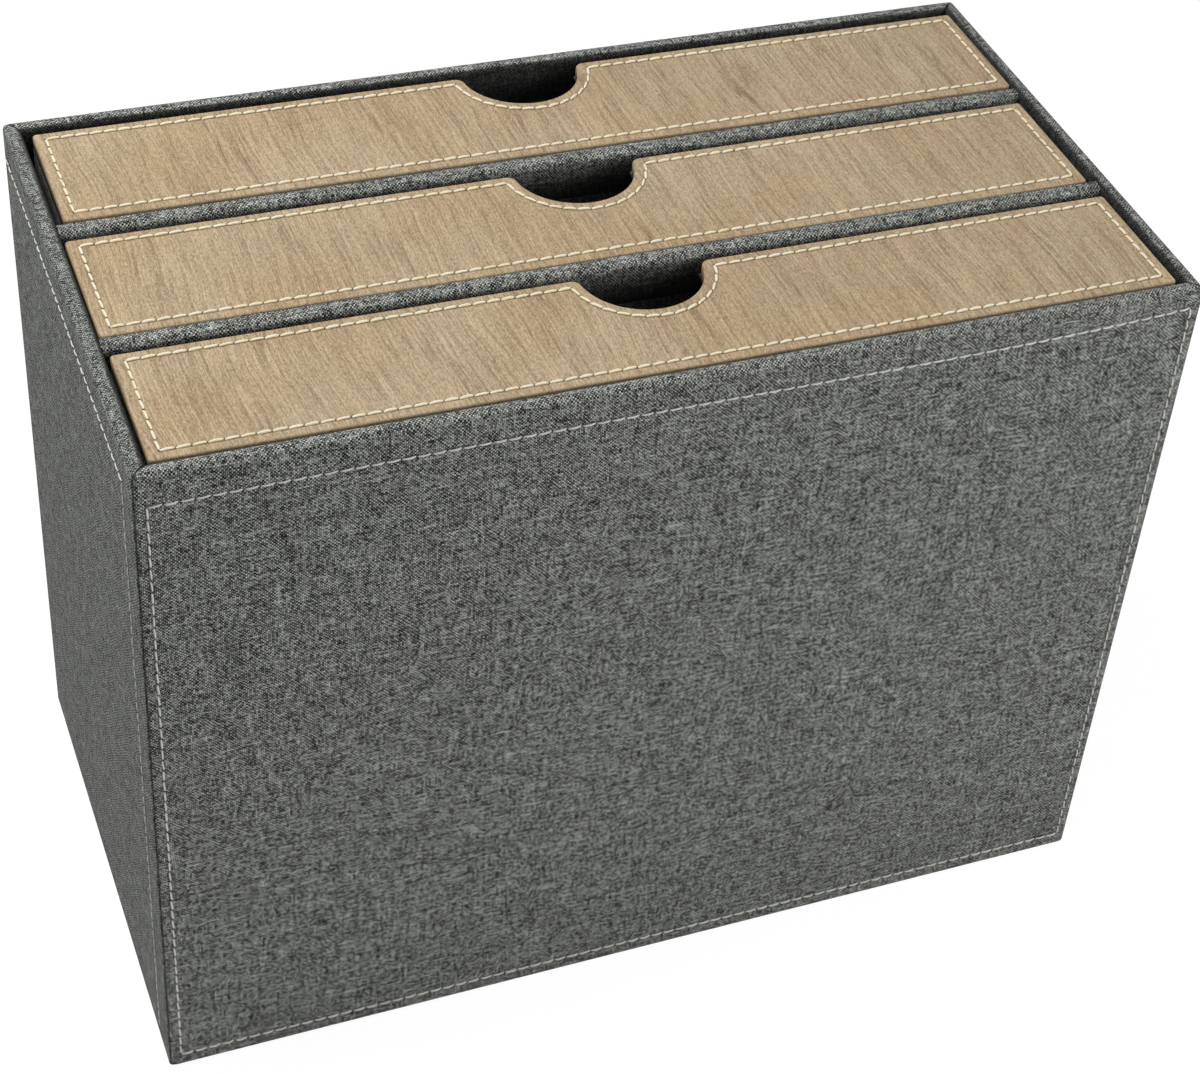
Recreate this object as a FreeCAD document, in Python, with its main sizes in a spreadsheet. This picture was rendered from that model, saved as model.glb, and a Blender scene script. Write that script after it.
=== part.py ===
import FreeCAD, Part

# A desk box of cloth-covered boards that holds three drawers side by side.
# It stands on its back board, so the drawer fronts face up.
# Frame: +Z up, the way the fronts face; X along the broad walls; the near broad wall faces -Y.
# The origin is the middle of the face that the box stands on. Millimetres.

import math
import os
import Sketcher
from FreeCAD import Placement, Rotation, Vector

# name, value, what it sets
SIZES = [
    ("case_width", 330.0, "outside, along X"),
    ("case_depth", 178.0, "outside, along Y"),
    ("case_height", 250.0, "outside, from the back face to the rim"),
    ("case_board", 4.0, "thickness of the boards of the case"),
    ("cloth", 0.5, "thickness of the grey cloth and of the linings"),
    ("rim_round", 2.0, "rounding of both edges of each rim"),
    ("corner_round", 1.0, "rounding of the outer corners and of the back edges"),
    ("rim_turn_in", 15.0, "how far the cloth runs down inside from the rim"),
    ("back_turn_under", 14.0, "how far the cloth runs in under the back board"),
    ("divider_drop", 1.0, "how far the dividers stay below the rim"),
    ("drawer_side_play", 3.0, "room beside a drawer, both sides together"),
    ("drawer_open_play", 4.5, "room across a drawer, on its near and its open side together"),
    ("drawer_seat_gap", 0.3, "room behind a drawer's rear wall"),
    ("near_drawer_shift", -0.3, "where the near drawer happens to stand, along X"),
    ("middle_drawer_shift", -1.0, "where the middle drawer happens to stand, along X"),
    ("far_drawer_shift", 1.1, "where the far drawer happens to stand, along X"),
    ("near_drawer_gap", 0.9, "room on the near side of the near drawer, as it happens to stand"),
    ("middle_drawer_gap", 0.4, "the same for the middle drawer"),
    ("far_drawer_gap", 1.2, "the same for the far drawer"),
    ("front_recess", 0.5, "how far the drawer fronts stay below the rim"),
    ("front_board", 4.0, "thickness of the notched front boards"),
    ("leathercloth", 0.6, "thickness of the oak-look covering"),
    ("front_corner_round", 1.2, "rounding of the fronts' four corners"),
    ("front_edge_round", 1.0, "rounding of the fronts' upper edge"),
    ("notch_radius", 19.5, "radius of the half-round finger notch"),
    ("notch_mouth_round", 3.0, "rounding where the notch meets the edge"),
    ("tray_board", 2.0, "thickness of the boards of the trays"),
    ("tray_round", 1.0, "rounding of the trays' outer edges"),
]
DRAWERS = ["near", "middle", "far"]

document = FreeCAD.newDocument("file_box")
sheet = document.addObject("Spreadsheet::Sheet", "sizes")
for row, (alias, value, meaning) in enumerate(SIZES, start=1):
    sheet.set(f"A{row}", alias)
    sheet.set(f"B{row}", str(value))
    sheet.set(f"C{row}", meaning)
    sheet.setAlias(f"B{row}", alias)
document.recompute()


# A length that knows both its value and the sheet expression that gives it

class Size:
    def __init__(self, value, text):
        self.value = value
        self.text = text

    def __add__(self, other):
        other = as_size(other)
        return Size(self.value + other.value, f"({self.text} + {other.text})")

    def __sub__(self, other):
        other = as_size(other)
        return Size(self.value - other.value, f"({self.text} - {other.text})")

    def __mul__(self, factor):
        return Size(self.value * factor, f"({self.text} * {factor!r})")

    def __truediv__(self, factor):
        return Size(self.value / factor, f"({self.text} / {factor!r})")

    def __neg__(self):
        return Size(-self.value, f"(0 - {self.text})")

    __rmul__ = __mul__


def as_size(item):
    return item if isinstance(item, Size) else Size(float(item), repr(float(item)))


def leg(hypotenuse, other_leg):
    value = math.sqrt(hypotenuse.value ** 2 - other_leg.value ** 2)
    return Size(value, f"sqrt(({hypotenuse.text})^2 - ({other_leg.text})^2)")


def ratio(part, whole, length):
    value = length.value * part.value / whole.value
    return Size(value, f"({length.text} * {part.text} / {whole.text})")


sized = {alias: Size(value, f"sizes.{alias}") for alias, value, meaning in SIZES}
zero = Size(0.0, "0")

case_width = sized["case_width"]
case_depth = sized["case_depth"]
case_height = sized["case_height"]
case_board = sized["case_board"]
cloth = sized["cloth"]
rim_round = sized["rim_round"]
corner_round = sized["corner_round"]
rim_turn_in = sized["rim_turn_in"]
back_turn_under = sized["back_turn_under"]
divider_drop = sized["divider_drop"]
drawer_seat_gap = sized["drawer_seat_gap"]
front_board = sized["front_board"]
leathercloth = sized["leathercloth"]
front_corner_round = sized["front_corner_round"]
front_edge_round = sized["front_edge_round"]
notch_radius = sized["notch_radius"]
notch_mouth_round = sized["notch_mouth_round"]
tray_board = sized["tray_board"]
tray_round = sized["tray_round"]

# What follows from them
wall = cloth * 2 + case_board
bay_width = case_width - wall * 2
bay_depth = (case_depth - wall * 4) / 3
board_level = cloth + case_board
bay_floor = wall
lining_top = case_height - rim_turn_in
drawer_width = bay_width - sized["drawer_side_play"]
drawer_depth = bay_depth - sized["drawer_open_play"]
drawer_length = case_height - sized["front_recess"] - bay_floor - drawer_seat_gap
front_thickness = front_board + leathercloth
tray_length = drawer_length - front_thickness
tray_wall = cloth * 2 + tray_board
diagonal_share = math.sqrt(0.5)
least_cut_share = 1e-7


# Sketches, whose every corner is held at sizes from the sheet

def origin_plane(body, role):
    return next(feature for feature in body.Origin.OriginFeatures if feature.Role == role)


def new_sketch(body, role, name, lift=None):
    """A sketch on one of the body's own planes, or lifted off it along the plane's normal."""
    sketch = body.newObject("Sketcher::SketchObject", name)
    sketch.AttachmentSupport = [(origin_plane(body, role), "")]
    sketch.MapMode = "FlatFace"
    if lift is not None:
        sketch.AttachmentOffset = Placement(Vector(0, 0, lift.value), Rotation())
        sketch.setExpression("AttachmentOffset.Base.z", lift.text)
    return sketch


def hold(sketch, kind, geometry, end, size):
    item = sketch.addConstraint(Sketcher.Constraint(kind, -1, 1, geometry, end, size.value))
    sketch.setExpression(f"Constraints[{item}]", size.text)


def flat(point):
    return Vector(point[0].value, point[1].value, 0)


def turned(centre, point):
    return math.atan2(point[1].value - centre[1].value, point[0].value - centre[0].value)


def run_to(point):
    return {"to": point}


def arc_to(point, centre, radius, clockwise=False):
    return {"to": point, "centre": centre, "radius": radius, "clockwise": clockwise}


# A line's or an arc's two ends, as a sketch numbers them
sketch_ends = tuple(range(1, 3))


def draw(sketch, start, steps):
    """Draws one closed outline from start through the steps, the last of which ends at start."""
    here = start
    ends = []
    for step in steps:
        there = step["to"]
        begin, end = sketch_ends
        if "centre" in step:
            circle = Part.Circle(flat(step["centre"]), Vector(0, 0, 1), step["radius"].value)
            angles = [turned(step["centre"], here), turned(step["centre"], there)]
            if step["clockwise"]:
                angles.reverse()
                begin, end = reversed(sketch_ends)
            geometry = sketch.addGeometry(Part.ArcOfCircle(circle, angles[0], angles[1]), False)
            item = sketch.addConstraint(Sketcher.Constraint("Radius", geometry, step["radius"].value))
            sketch.setExpression(f"Constraints[{item}]", step["radius"].text)
        else:
            geometry = sketch.addGeometry(Part.LineSegment(flat(here), flat(there)), False)
        hold(sketch, "DistanceX", geometry, end, there[0])
        hold(sketch, "DistanceY", geometry, end, there[1])
        ends.append((geometry, begin, end))
        here = there
    for (geometry, begin, end), (following, next_begin, next_end) in zip(ends, ends[1:] + ends[:1]):
        sketch.addConstraint(Sketcher.Constraint("Coincident", geometry, end, following, next_begin))


def draw_rectangle(sketch, low, high):
    corners = [(high[0], low[1]), high, (low[0], high[1]), low]
    draw(sketch, low, [run_to(corner) for corner in corners])


def draw_circle(sketch, centre, radius):
    circle = Part.Circle(flat(centre), Vector(0, 0, 1), radius.value)
    geometry = sketch.addGeometry(circle, False)
    item = sketch.addConstraint(Sketcher.Constraint("Radius", geometry, radius.value))
    sketch.setExpression(f"Constraints[{item}]", radius.text)
    hold(sketch, "DistanceX", geometry, 3, centre[0])
    hold(sketch, "DistanceY", geometry, 3, centre[1])


# Features

def new_body(label):
    body = document.addObject("PartDesign::Body", label)
    body.Label = label
    return body


def add_pad(body, sketch, name, length, middle=False):
    pad = body.newObject("PartDesign::Pad", name)
    pad.Profile = sketch
    pad.setExpression("Length", length.text)
    if middle:
        pad.SideType = "Symmetric"
    document.recompute()
    return pad


def add_pocket(body, sketch, name, length=None, reverse=False):
    """Cuts the sketch to a depth, or right through both ways, and makes sure that it cut something."""
    before = body.Shape.Volume
    pocket = body.newObject("PartDesign::Pocket", name)
    pocket.Profile = sketch
    if length is None:
        pocket.Type = "ThroughAll"
        pocket.SideType = "Symmetric"
    else:
        pocket.setExpression("Length", length.text)
        pocket.Reversed = reverse
    document.recompute()
    if not pocket.Shape.Volume < before * (1 - least_cut_share):
        raise RuntimeError(f"{body.Label}: {name} cuts nothing")
    return pocket


def add_fillet(body, name, radius, wanted):
    """Rounds every edge of the body whose bounding box satisfies wanted."""
    base = body.Tip
    names = []
    for number, edge in enumerate(base.Shape.Edges, start=1):
        if wanted(edge.BoundBox):
            names.append(f"Edge{number}")
    fillet = body.newObject("PartDesign::Fillet", name)
    fillet.Base = (base, names)
    fillet.setExpression("Radius", radius.text)
    document.recompute()
    return fillet


def near_to(first, second):
    return abs(first - second) < 1e-4


def put(item, turn, x, y, z):
    item.Placement = Placement(Vector(x.value, y.value, z.value), Rotation(Vector(0, 0, 1), turn))
    item.setExpression("Placement.Base.x", x.text)
    item.setExpression("Placement.Base.y", y.text)
    item.setExpression("Placement.Base.z", z.text)


def add_slab(label, low, high):
    """A flat sheet or board with square edges, between two corners."""
    slab = document.addObject("Part::Box", label)
    slab.Label = label
    for name, first, last in zip(("Length", "Width", "Height"), low, high):
        slab.setExpression(name, (last - first).text)
    put(slab, 0, low[0], low[1], low[2])
    return slab


# The four outer walls, made lying along X with the outer face at y = 0 and mitred at both ends

def mitre(body, length, reach, inset):
    """Cuts both ends along the diagonal of the corner, which is rounded at its outer edge."""
    radius = corner_round - inset
    for side, name in ((1, "right"), (-1, "left")):
        middle = (side * (length / 2 - corner_round), corner_round)
        start = (middle[0], inset)
        bend = (middle[0] + radius * (side * diagonal_share), middle[1] - radius * diagonal_share)
        inner = (side * (length / 2 - reach), reach)
        outer_inner = (side * (length / 2 + wall), reach)
        outer_outer = (side * (length / 2 + wall), -wall)
        steps = [
            arc_to(bend, middle, radius, clockwise=side < 0),
            run_to(inner),
            run_to(outer_inner),
            run_to(outer_outer),
            run_to((middle[0], -wall)),
            run_to(start),
        ]
        sketch = new_sketch(body, "XY_Plane", f"{body.Label}_{name}_mitre_sketch")
        draw(sketch, start, steps)
        add_pocket(body, sketch, f"{body.Label}_{name}_mitre")


def make_wall_board(label, length):
    body = new_body(label)
    sketch = new_sketch(body, "YZ_Plane", f"{label}_section")
    top = case_height - cloth
    radius = rim_round - cloth
    outer, inner = cloth, cloth + case_board
    draw(sketch, (outer, board_level), [
        run_to((inner, board_level)),
        run_to((inner, top - radius)),
        arc_to((inner - radius, top), (inner - radius, top - radius), radius),
        run_to((outer + radius, top)),
        arc_to((outer, top - radius), (outer + radius, top - radius), radius),
        run_to((outer, board_level)),
    ])
    add_pad(body, sketch, f"{label}_pad", length, middle=True)
    mitre(body, length, wall * 2, cloth)
    return body


def make_wall_cover(label, length):
    """Cloth from under the back board, up the outer face, over the rim and down inside."""
    body = new_body(label)
    sketch = new_sketch(body, "YZ_Plane", f"{label}_section")
    top, under, inside = case_height, back_turn_under, wall
    rim_centre = case_height - rim_round
    outer_rim = (rim_round, rim_centre)
    inner_rim = (inside - rim_round, rim_centre)
    back_edge = (corner_round, corner_round)
    draw(sketch, (under, zero), [
        run_to((under, cloth)),
        run_to((corner_round, cloth)),
        arc_to((cloth, corner_round), back_edge, corner_round - cloth, clockwise=True),
        run_to((cloth, rim_centre)),
        arc_to((rim_round, top - cloth), outer_rim, rim_round - cloth, clockwise=True),
        run_to((inner_rim[0], top - cloth)),
        arc_to((inside - cloth, rim_centre), inner_rim, rim_round - cloth, clockwise=True),
        run_to((inside - cloth, lining_top)),
        run_to((inside, lining_top)),
        run_to((inside, rim_centre)),
        arc_to((inner_rim[0], top), inner_rim, rim_round),
        run_to((rim_round, top)),
        arc_to((zero, rim_centre), outer_rim, rim_round),
        run_to((zero, corner_round)),
        arc_to((corner_round, zero), back_edge, corner_round),
        run_to((under, zero)),
    ])
    add_pad(body, sketch, f"{label}_pad", length, middle=True)
    mitre(body, length, back_turn_under + wall, zero)
    return body


nodes = []
outer_walls = [
    ("near", case_width, 0, (zero, case_depth / -2)),
    ("far", case_width, 180, (zero, case_depth / 2)),
    ("left", case_depth, -90, (case_width / -2, zero)),
    ("right", case_depth, 90, (case_width / 2, zero)),
]
for side, length, turn, (x, y) in outer_walls:
    for made in (make_wall_board(f"{side}_board", length), make_wall_cover(f"{side}_cover", length)):
        put(made, turn, x, y, zero)
        nodes.append(made)


# The back: a board inside the covers' lower bends, and a cloth sheet between their turned-under edges

def make_back_board():
    body = new_body("back_board")
    sketch = new_sketch(body, "XY_Plane", "back_board_outline")
    half_width = case_width / 2 - cloth
    half_depth = case_depth / 2 - cloth
    draw_rectangle(sketch, (-half_width, -half_depth), (half_width, half_depth))
    add_pad(body, sketch, "back_board_pad", case_board)
    thickness = case_board.value
    upright = lambda box: near_to(box.ZLength, thickness)
    add_fillet(body, "back_board_corners", corner_round - cloth, upright)
    lower = lambda box: near_to(box.ZMax, 0)
    add_fillet(body, "back_board_lower_edge", corner_round - cloth, lower)
    put(body, 0, zero, zero, cloth)
    return body


nodes.append(make_back_board())
cover_x = case_width / 2 - back_turn_under
cover_y = case_depth / 2 - back_turn_under
nodes.append(add_slab("back_cover", (-cover_x, -cover_y, zero), (cover_x, cover_y, cloth)))


# The dividers, between the linings of the two ends

def make_divider(label, y):
    """A board with a rounded upper edge, and the cloth folded over it, centred on y."""
    top = case_height - divider_drop
    half, skin = case_board / 2, case_board / 2 + cloth
    inner_radius = rim_round - cloth
    centre = top - rim_round
    board = new_body(f"{label}_board")
    sketch = new_sketch(board, "YZ_Plane", f"{label}_board_section")
    draw(sketch, (-half, board_level), [
        run_to((half, board_level)),
        run_to((half, centre)),
        arc_to((half - inner_radius, top - cloth), (half - inner_radius, centre), inner_radius),
        run_to((inner_radius - half, top - cloth)),
        arc_to((-half, centre), (inner_radius - half, centre), inner_radius),
        run_to((-half, board_level)),
    ])
    add_pad(board, sketch, f"{label}_board_pad", bay_width, middle=True)
    wrap = new_body(f"{label}_wrap")
    sketch = new_sketch(wrap, "YZ_Plane", f"{label}_wrap_section")
    right_centre = (half - inner_radius, centre)
    left_centre = (inner_radius - half, centre)
    draw(sketch, (-skin, lining_top), [
        run_to((-half, lining_top)),
        run_to((-half, centre)),
        arc_to((left_centre[0], top - cloth), left_centre, inner_radius, clockwise=True),
        run_to((right_centre[0], top - cloth)),
        arc_to((half, centre), right_centre, inner_radius, clockwise=True),
        run_to((half, lining_top)),
        run_to((skin, lining_top)),
        run_to((skin, centre)),
        arc_to((right_centre[0], top), right_centre, rim_round),
        run_to((left_centre[0], top)),
        arc_to((-skin, centre), left_centre, rim_round),
        run_to((-skin, lining_top)),
    ])
    add_pad(wrap, sketch, f"{label}_wrap_pad", bay_width, middle=True)
    for made in (board, wrap):
        put(made, 0, zero, y, zero)
        nodes.append(made)


bay_pitch = bay_depth + wall
for side, name in ((-1, "near"), (1, "far")):
    make_divider(f"{name}_divider", side * (bay_pitch / 2))


# The linings: a sheet on each end, and a U of cloth in each bay

def make_bay_lining(label, y):
    body = new_body(label)
    sketch = new_sketch(body, "YZ_Plane", f"{label}_section")
    clear, skin = bay_depth / 2, bay_depth / 2 + cloth
    draw(sketch, (-skin, board_level), [
        run_to((skin, board_level)),
        run_to((skin, lining_top)),
        run_to((clear, lining_top)),
        run_to((clear, bay_floor)),
        run_to((-clear, bay_floor)),
        run_to((-clear, lining_top)),
        run_to((-skin, lining_top)),
        run_to((-skin, board_level)),
    ])
    add_pad(body, sketch, f"{label}_pad", bay_width, middle=True)
    put(body, 0, zero, y, zero)
    return body


lining_y = case_depth / 2 - cloth - case_board
end_x = bay_width / 2
nodes.append(add_slab("left_lining", (-end_x - cloth, -lining_y, board_level), (-end_x, lining_y, lining_top)))
nodes.append(add_slab("right_lining", (end_x, -lining_y, board_level), (end_x + cloth, lining_y, lining_top)))
for place, name in enumerate(DRAWERS, start=-1):
    nodes.append(make_bay_lining(f"{name}_bay_lining", bay_pitch * place))


# The drawers, made with x = 0 in the middle, y = 0 at the floor's outer face and z = 0 at the rear

def draw_front(sketch, inset):
    """The front's outline, drawn in by inset: rounded corners and a notch in its far edge."""
    side = drawer_width / 2
    corner = front_corner_round
    arc = front_corner_round - inset
    top = drawer_depth
    notch = notch_radius + inset
    mouth = notch_mouth_round - inset
    reach = notch_radius + notch_mouth_round
    mouth_x = leg(reach, notch_mouth_round)
    bend_x = ratio(mouth_x, reach, notch)
    bend_y = top - ratio(notch_mouth_round, reach, notch)
    steps = [
        run_to((side - corner, inset)),
        arc_to((side - inset, corner), (side - corner, corner), arc),
        run_to((side - inset, top - corner)),
        arc_to((side - corner, top - inset), (side - corner, top - corner), arc),
        run_to((mouth_x, top - inset)),
        arc_to((bend_x, bend_y), (mouth_x, top - notch_mouth_round), mouth),
        arc_to((-bend_x, bend_y), (zero, top), notch, clockwise=True),
        arc_to((-mouth_x, top - inset), (-mouth_x, top - notch_mouth_round), mouth),
        run_to((corner - side, top - inset)),
        arc_to((inset - side, top - corner), (corner - side, top - corner), arc),
        run_to((inset - side, corner)),
        arc_to((corner - side, inset), (corner - side, corner), arc),
    ]
    draw(sketch, (corner - side, inset), steps)


def make_front_board(label):
    body = new_body(label)
    sketch = new_sketch(body, "XY_Plane", f"{label}_outline")
    draw_front(sketch, leathercloth)
    add_pad(body, sketch, f"{label}_pad", front_board)
    return body


def make_front_cover(label):
    """The covering: a sheet over the board, turned down round every edge and through the notch."""
    body = new_body(label)
    sketch = new_sketch(body, "XY_Plane", f"{label}_outline")
    draw_front(sketch, zero)
    add_pad(body, sketch, f"{label}_pad", front_thickness)
    thickness = front_thickness.value
    add_fillet(body, f"{label}_edge", front_edge_round, lambda box: near_to(box.ZMin, thickness))
    sketch = new_sketch(body, "XY_Plane", f"{label}_hollow_outline")
    draw_front(sketch, leathercloth)
    add_pocket(body, sketch, f"{label}_hollow", front_board, reverse=True)
    return body


def make_tray_cover(label):
    """Cloth on the outside of the tray and over the rim of its three walls, open at the front."""
    body = new_body(label)
    half = drawer_width / 2
    sketch = new_sketch(body, "XY_Plane", f"{label}_outline")
    draw_rectangle(sketch, (-half, zero), (half, drawer_depth))
    add_pad(body, sketch, f"{label}_pad", tray_length)
    front = tray_length.value
    add_fillet(body, f"{label}_edges", tray_round, lambda box: not near_to(box.ZMin, front))
    inner = half - cloth
    sketch = new_sketch(body, "XY_Plane", f"{label}_inside_outline", cloth)
    draw_rectangle(sketch, (-inner, cloth), (inner, drawer_depth - cloth))
    add_pocket(body, sketch, f"{label}_inside", tray_length, reverse=True)
    opening = half - tray_wall
    sketch = new_sketch(body, "XZ_Plane", f"{label}_mouth_outline", drawer_depth / -2)
    draw_rectangle(sketch, (-opening, tray_wall), (opening, tray_length + tray_wall))
    add_pocket(body, sketch, f"{label}_mouth", drawer_depth)
    return body


def make_tray_lining(label):
    """Cloth inside the tray: floor, three walls and the back of the front, notched with it."""
    body = new_body(label)
    outer = drawer_width / 2 - cloth - tray_board
    low = cloth + tray_board
    sketch = new_sketch(body, "XY_Plane", f"{label}_outline")
    draw_rectangle(sketch, (-outer, low), (outer, drawer_depth - cloth))
    add_pad(body, sketch, f"{label}_pad", tray_length - low)
    inner = outer - cloth
    sketch = new_sketch(body, "XZ_Plane", f"{label}_hollow_outline", -tray_wall)
    draw_rectangle(sketch, (-inner, cloth), (inner, tray_length - low - cloth))
    add_pocket(body, sketch, f"{label}_hollow", drawer_depth)
    sketch = new_sketch(body, "XY_Plane", f"{label}_notch_outline", tray_length / 2)
    draw_circle(sketch, (zero, drawer_depth), notch_radius)
    add_pocket(body, sketch, f"{label}_notch", tray_length, reverse=True)
    return body


def make_drawer(name, place):
    """The eight pieces of one drawer, in its bay."""
    half = drawer_width / 2
    x = sized[f"{name}_drawer_shift"]
    y = bay_pitch * place - bay_depth / 2 + sized[f"{name}_drawer_gap"]
    z = bay_floor + drawer_seat_gap
    floor_top = cloth + tray_board
    wall_top = drawer_depth - cloth
    inner = half - floor_top
    made = [
        (make_front_board(f"{name}_front_board"), tray_length),
        (make_front_cover(f"{name}_front_cover"), tray_length),
        (make_tray_cover(f"{name}_tray_cover"), zero),
        (make_tray_lining(f"{name}_tray_lining"), floor_top),
    ]
    for body, rise in made:
        put(body, 0, x, y, z + rise)
        nodes.append(body)
    boards = {
        "floor": ((cloth - half, cloth, cloth), (half - cloth, floor_top, tray_length)),
        "left_wall": ((cloth - half, floor_top, cloth), (-inner, wall_top, tray_length)),
        "right_wall": ((inner, floor_top, cloth), (half - cloth, wall_top, tray_length)),
        "rear_wall": ((-inner, floor_top, cloth), (inner, wall_top, floor_top)),
    }
    for board, (low, high) in boards.items():
        low = (low[0] + x, low[1] + y, low[2] + z)
        high = (high[0] + x, high[1] + y, high[2] + z)
        nodes.append(add_slab(f"{name}_{board}_board", low, high))


for place, name in enumerate(DRAWERS, start=-1):
    make_drawer(name, place)


# Check everything, then write one file for each piece

document.recompute()
for item in document.Objects:
    for state in item.State:
        if "Invalid" in state or "Error" in state:
            raise RuntimeError(f"{item.Label} is {state}")
os.makedirs("parts", exist_ok=True)
for node in nodes:
    if node.Shape.isNull() or not node.Shape.isValid():
        raise RuntimeError(f"{node.Label} has no valid shape")
    if len(node.Shape.Solids) != 1:
        raise RuntimeError(f"{node.Label} has {len(node.Shape.Solids)} solids")
for node in nodes:
    node.Shape.exportStep(f"parts/{node.Label}.step")
print(f"{len(nodes)} pieces written")
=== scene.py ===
# %% [markdown]
# # File box with drawers
# The box is boards wrapped in a mottled grey cloth. Three drawers stand in it, and their fronts are
# covered in oak-look leathercloth that is sewn down all round with a pale thread.
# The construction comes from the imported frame. This lesson adds what the eye sees: cloth with a
# weave, leathercloth with a grain, rows of stitches, and a soft light.

# %% Load the frame
import math

import bmesh
import bpy
from mathutils import Matrix, Vector


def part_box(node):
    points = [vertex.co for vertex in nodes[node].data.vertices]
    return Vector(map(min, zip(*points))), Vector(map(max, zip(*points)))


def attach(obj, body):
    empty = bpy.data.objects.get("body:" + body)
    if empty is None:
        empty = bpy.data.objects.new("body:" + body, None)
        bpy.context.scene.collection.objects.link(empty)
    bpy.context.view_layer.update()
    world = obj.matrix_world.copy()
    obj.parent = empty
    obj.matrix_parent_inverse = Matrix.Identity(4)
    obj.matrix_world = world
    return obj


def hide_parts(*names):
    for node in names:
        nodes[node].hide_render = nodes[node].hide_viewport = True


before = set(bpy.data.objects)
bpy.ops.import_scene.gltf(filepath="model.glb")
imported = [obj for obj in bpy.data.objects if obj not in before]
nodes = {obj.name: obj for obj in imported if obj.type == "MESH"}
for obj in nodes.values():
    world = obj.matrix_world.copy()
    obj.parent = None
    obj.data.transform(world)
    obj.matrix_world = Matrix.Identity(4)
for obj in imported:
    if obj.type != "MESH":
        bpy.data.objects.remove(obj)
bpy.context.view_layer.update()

MM = 0.001
scene = bpy.context.scene
scene.view_settings.view_transform = "Standard"

# %% [markdown]
# ## Measures
# The main sizes are read from the frame, so a piece that is made in this lesson lies exactly where
# the construction has it. What the boxes of its nodes can't tell, such as the radius of a notch or the
# length of a stitch, is typed where it is first needed.

# %% Sizes from the frame
DRAWERS = ["near", "middle", "far"]
case_low = Vector((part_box("left_cover")[0].x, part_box("near_cover")[0].y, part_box("near_cover")[0].z))
case_high = Vector((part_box("right_cover")[1].x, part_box("far_cover")[1].y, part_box("near_cover")[1].z))
case_width = case_high.x - case_low.x
case_depth = case_high.y - case_low.y
case_height = case_high.z - case_low.z
cloth_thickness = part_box("back_cover")[1].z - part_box("back_cover")[0].z
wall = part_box("left_lining")[1].x - case_low.x
print("wall", round(wall / MM, 2), "mm; cloth", round(cloth_thickness / MM, 2), "mm")

# %% [markdown]
# ## A short way to write node trees
# Materials and Geometry Nodes trees are both graphs, and links written one by one hide the idea. This
# helper adds a node, sets what is a plain value, and links what is another node's socket.

# %% Helper for node trees
class Graph:
    """Adds nodes to a tree. A socket given as an input is linked, and a value is set."""

    def __init__(self, tree):
        self.tree = tree

    def add(self, kind, inputs=None, **settings):
        node = self.tree.nodes.new(kind)
        for name, value in settings.items():
            setattr(node, name, value)
        for key, value in (inputs or {}).items():
            self.give(node.inputs[key], value)
        return node

    def first(self, kind, inputs=None, **settings):
        """The first output of a new node."""
        return self.add(kind, inputs, **settings).outputs[0]

    def give(self, socket, value):
        if isinstance(value, bpy.types.NodeSocket):
            self.tree.links.new(value, socket)
        else:
            socket.default_value = value

    def math(self, operation, *values):
        return self.first("ShaderNodeMath", dict(enumerate(values)), operation=operation)

    def split(self, point):
        return self.add("ShaderNodeSeparateXYZ", {0: point}).outputs

    def in_mm(self, point):
        return self.first("ShaderNodeVectorMath", {0: point, 1: (1 / MM,) * 3}, operation="MULTIPLY")

    def times(self, first, second):
        return self.math("MULTIPLY", first, second)

    def minus(self, first, second):
        return self.math("SUBTRACT", first, second)

    def parted(self, first, second):
        return self.math("DIVIDE", first, second)

    def total(self, *values):
        """The sum of several numbers."""
        so_far = values[0]
        for value in values[1:]:
            so_far = self.math("ADD", so_far, value)
        return so_far

    def centred(self, value, amount, middle=0.5):
        """The part of a value that lies above or below its middle, times amount."""
        return self.times(self.minus(value, middle), amount)

    def mix(self, factor, low, high):
        """A number that goes from low to high as factor goes from 0 to 1."""
        return self.first("ShaderNodeMix", {0: factor, 2: low, 3: high}, data_type="FLOAT")

    def mix_colour(self, factor, low, high, blend="MIX"):
        inputs = {0: factor, 6: low, 7: high}
        return self.add("ShaderNodeMix", inputs, data_type="RGBA", blend_type=blend).outputs[2]

    def vector(self, x, y, z=0.0):
        return self.first("ShaderNodeCombineXYZ", {0: x, 1: y, 2: z})

    def noise(self, place, scale, detail=2.0, roughness=0.5, dimensions="3D"):
        inputs = {"Vector": place, "Scale": scale, "Detail": detail, "Roughness": roughness}
        return self.first("ShaderNodeTexNoise", inputs, noise_dimensions=dimensions)

    def stretch(self, value, low, high, start=0.0, end=1.0):
        """Maps low..high onto start..end, and holds it there."""
        inputs = {"Value": value, "From Min": low, "From Max": high, "To Min": start, "To Max": end}
        return self.first("ShaderNodeMapRange", inputs)


SOCKETS = {"number": "NodeSocketFloat", "colour": "NodeSocketColor", "vector": "NodeSocketVector"}


def new_group(name, inputs, outputs):
    """A shader node group. Its sockets are given as (name, kind)."""
    tree = bpy.data.node_groups.new(name, "ShaderNodeTree")
    for in_out, sockets in (("INPUT", inputs), ("OUTPUT", outputs)):
        for label, kind in sockets:
            tree.interface.new_socket(label, in_out=in_out, socket_type=SOCKETS[kind])
    graph = Graph(tree)
    start = graph.add("NodeGroupInput").outputs
    end = graph.add("NodeGroupOutput").inputs
    return tree, graph, start, end


def tone(red, green, blue):
    """A colour given as it looks on a screen, 0 to 255, as the linear colour that a shader wants."""
    shares = [value / 255 for value in (red, green, blue)]
    return (*(v / 12.92 if v <= 0.04 else ((v + 0.055) / 1.055) ** 2.4 for v in shares), 1.0)


# %% [markdown]
# ## Camera
# The camera stands where the photograph was taken from: to the left of the box, above it, and about
# a metre away. Its place and direction were worked out from the corners of the box in the picture.

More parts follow.
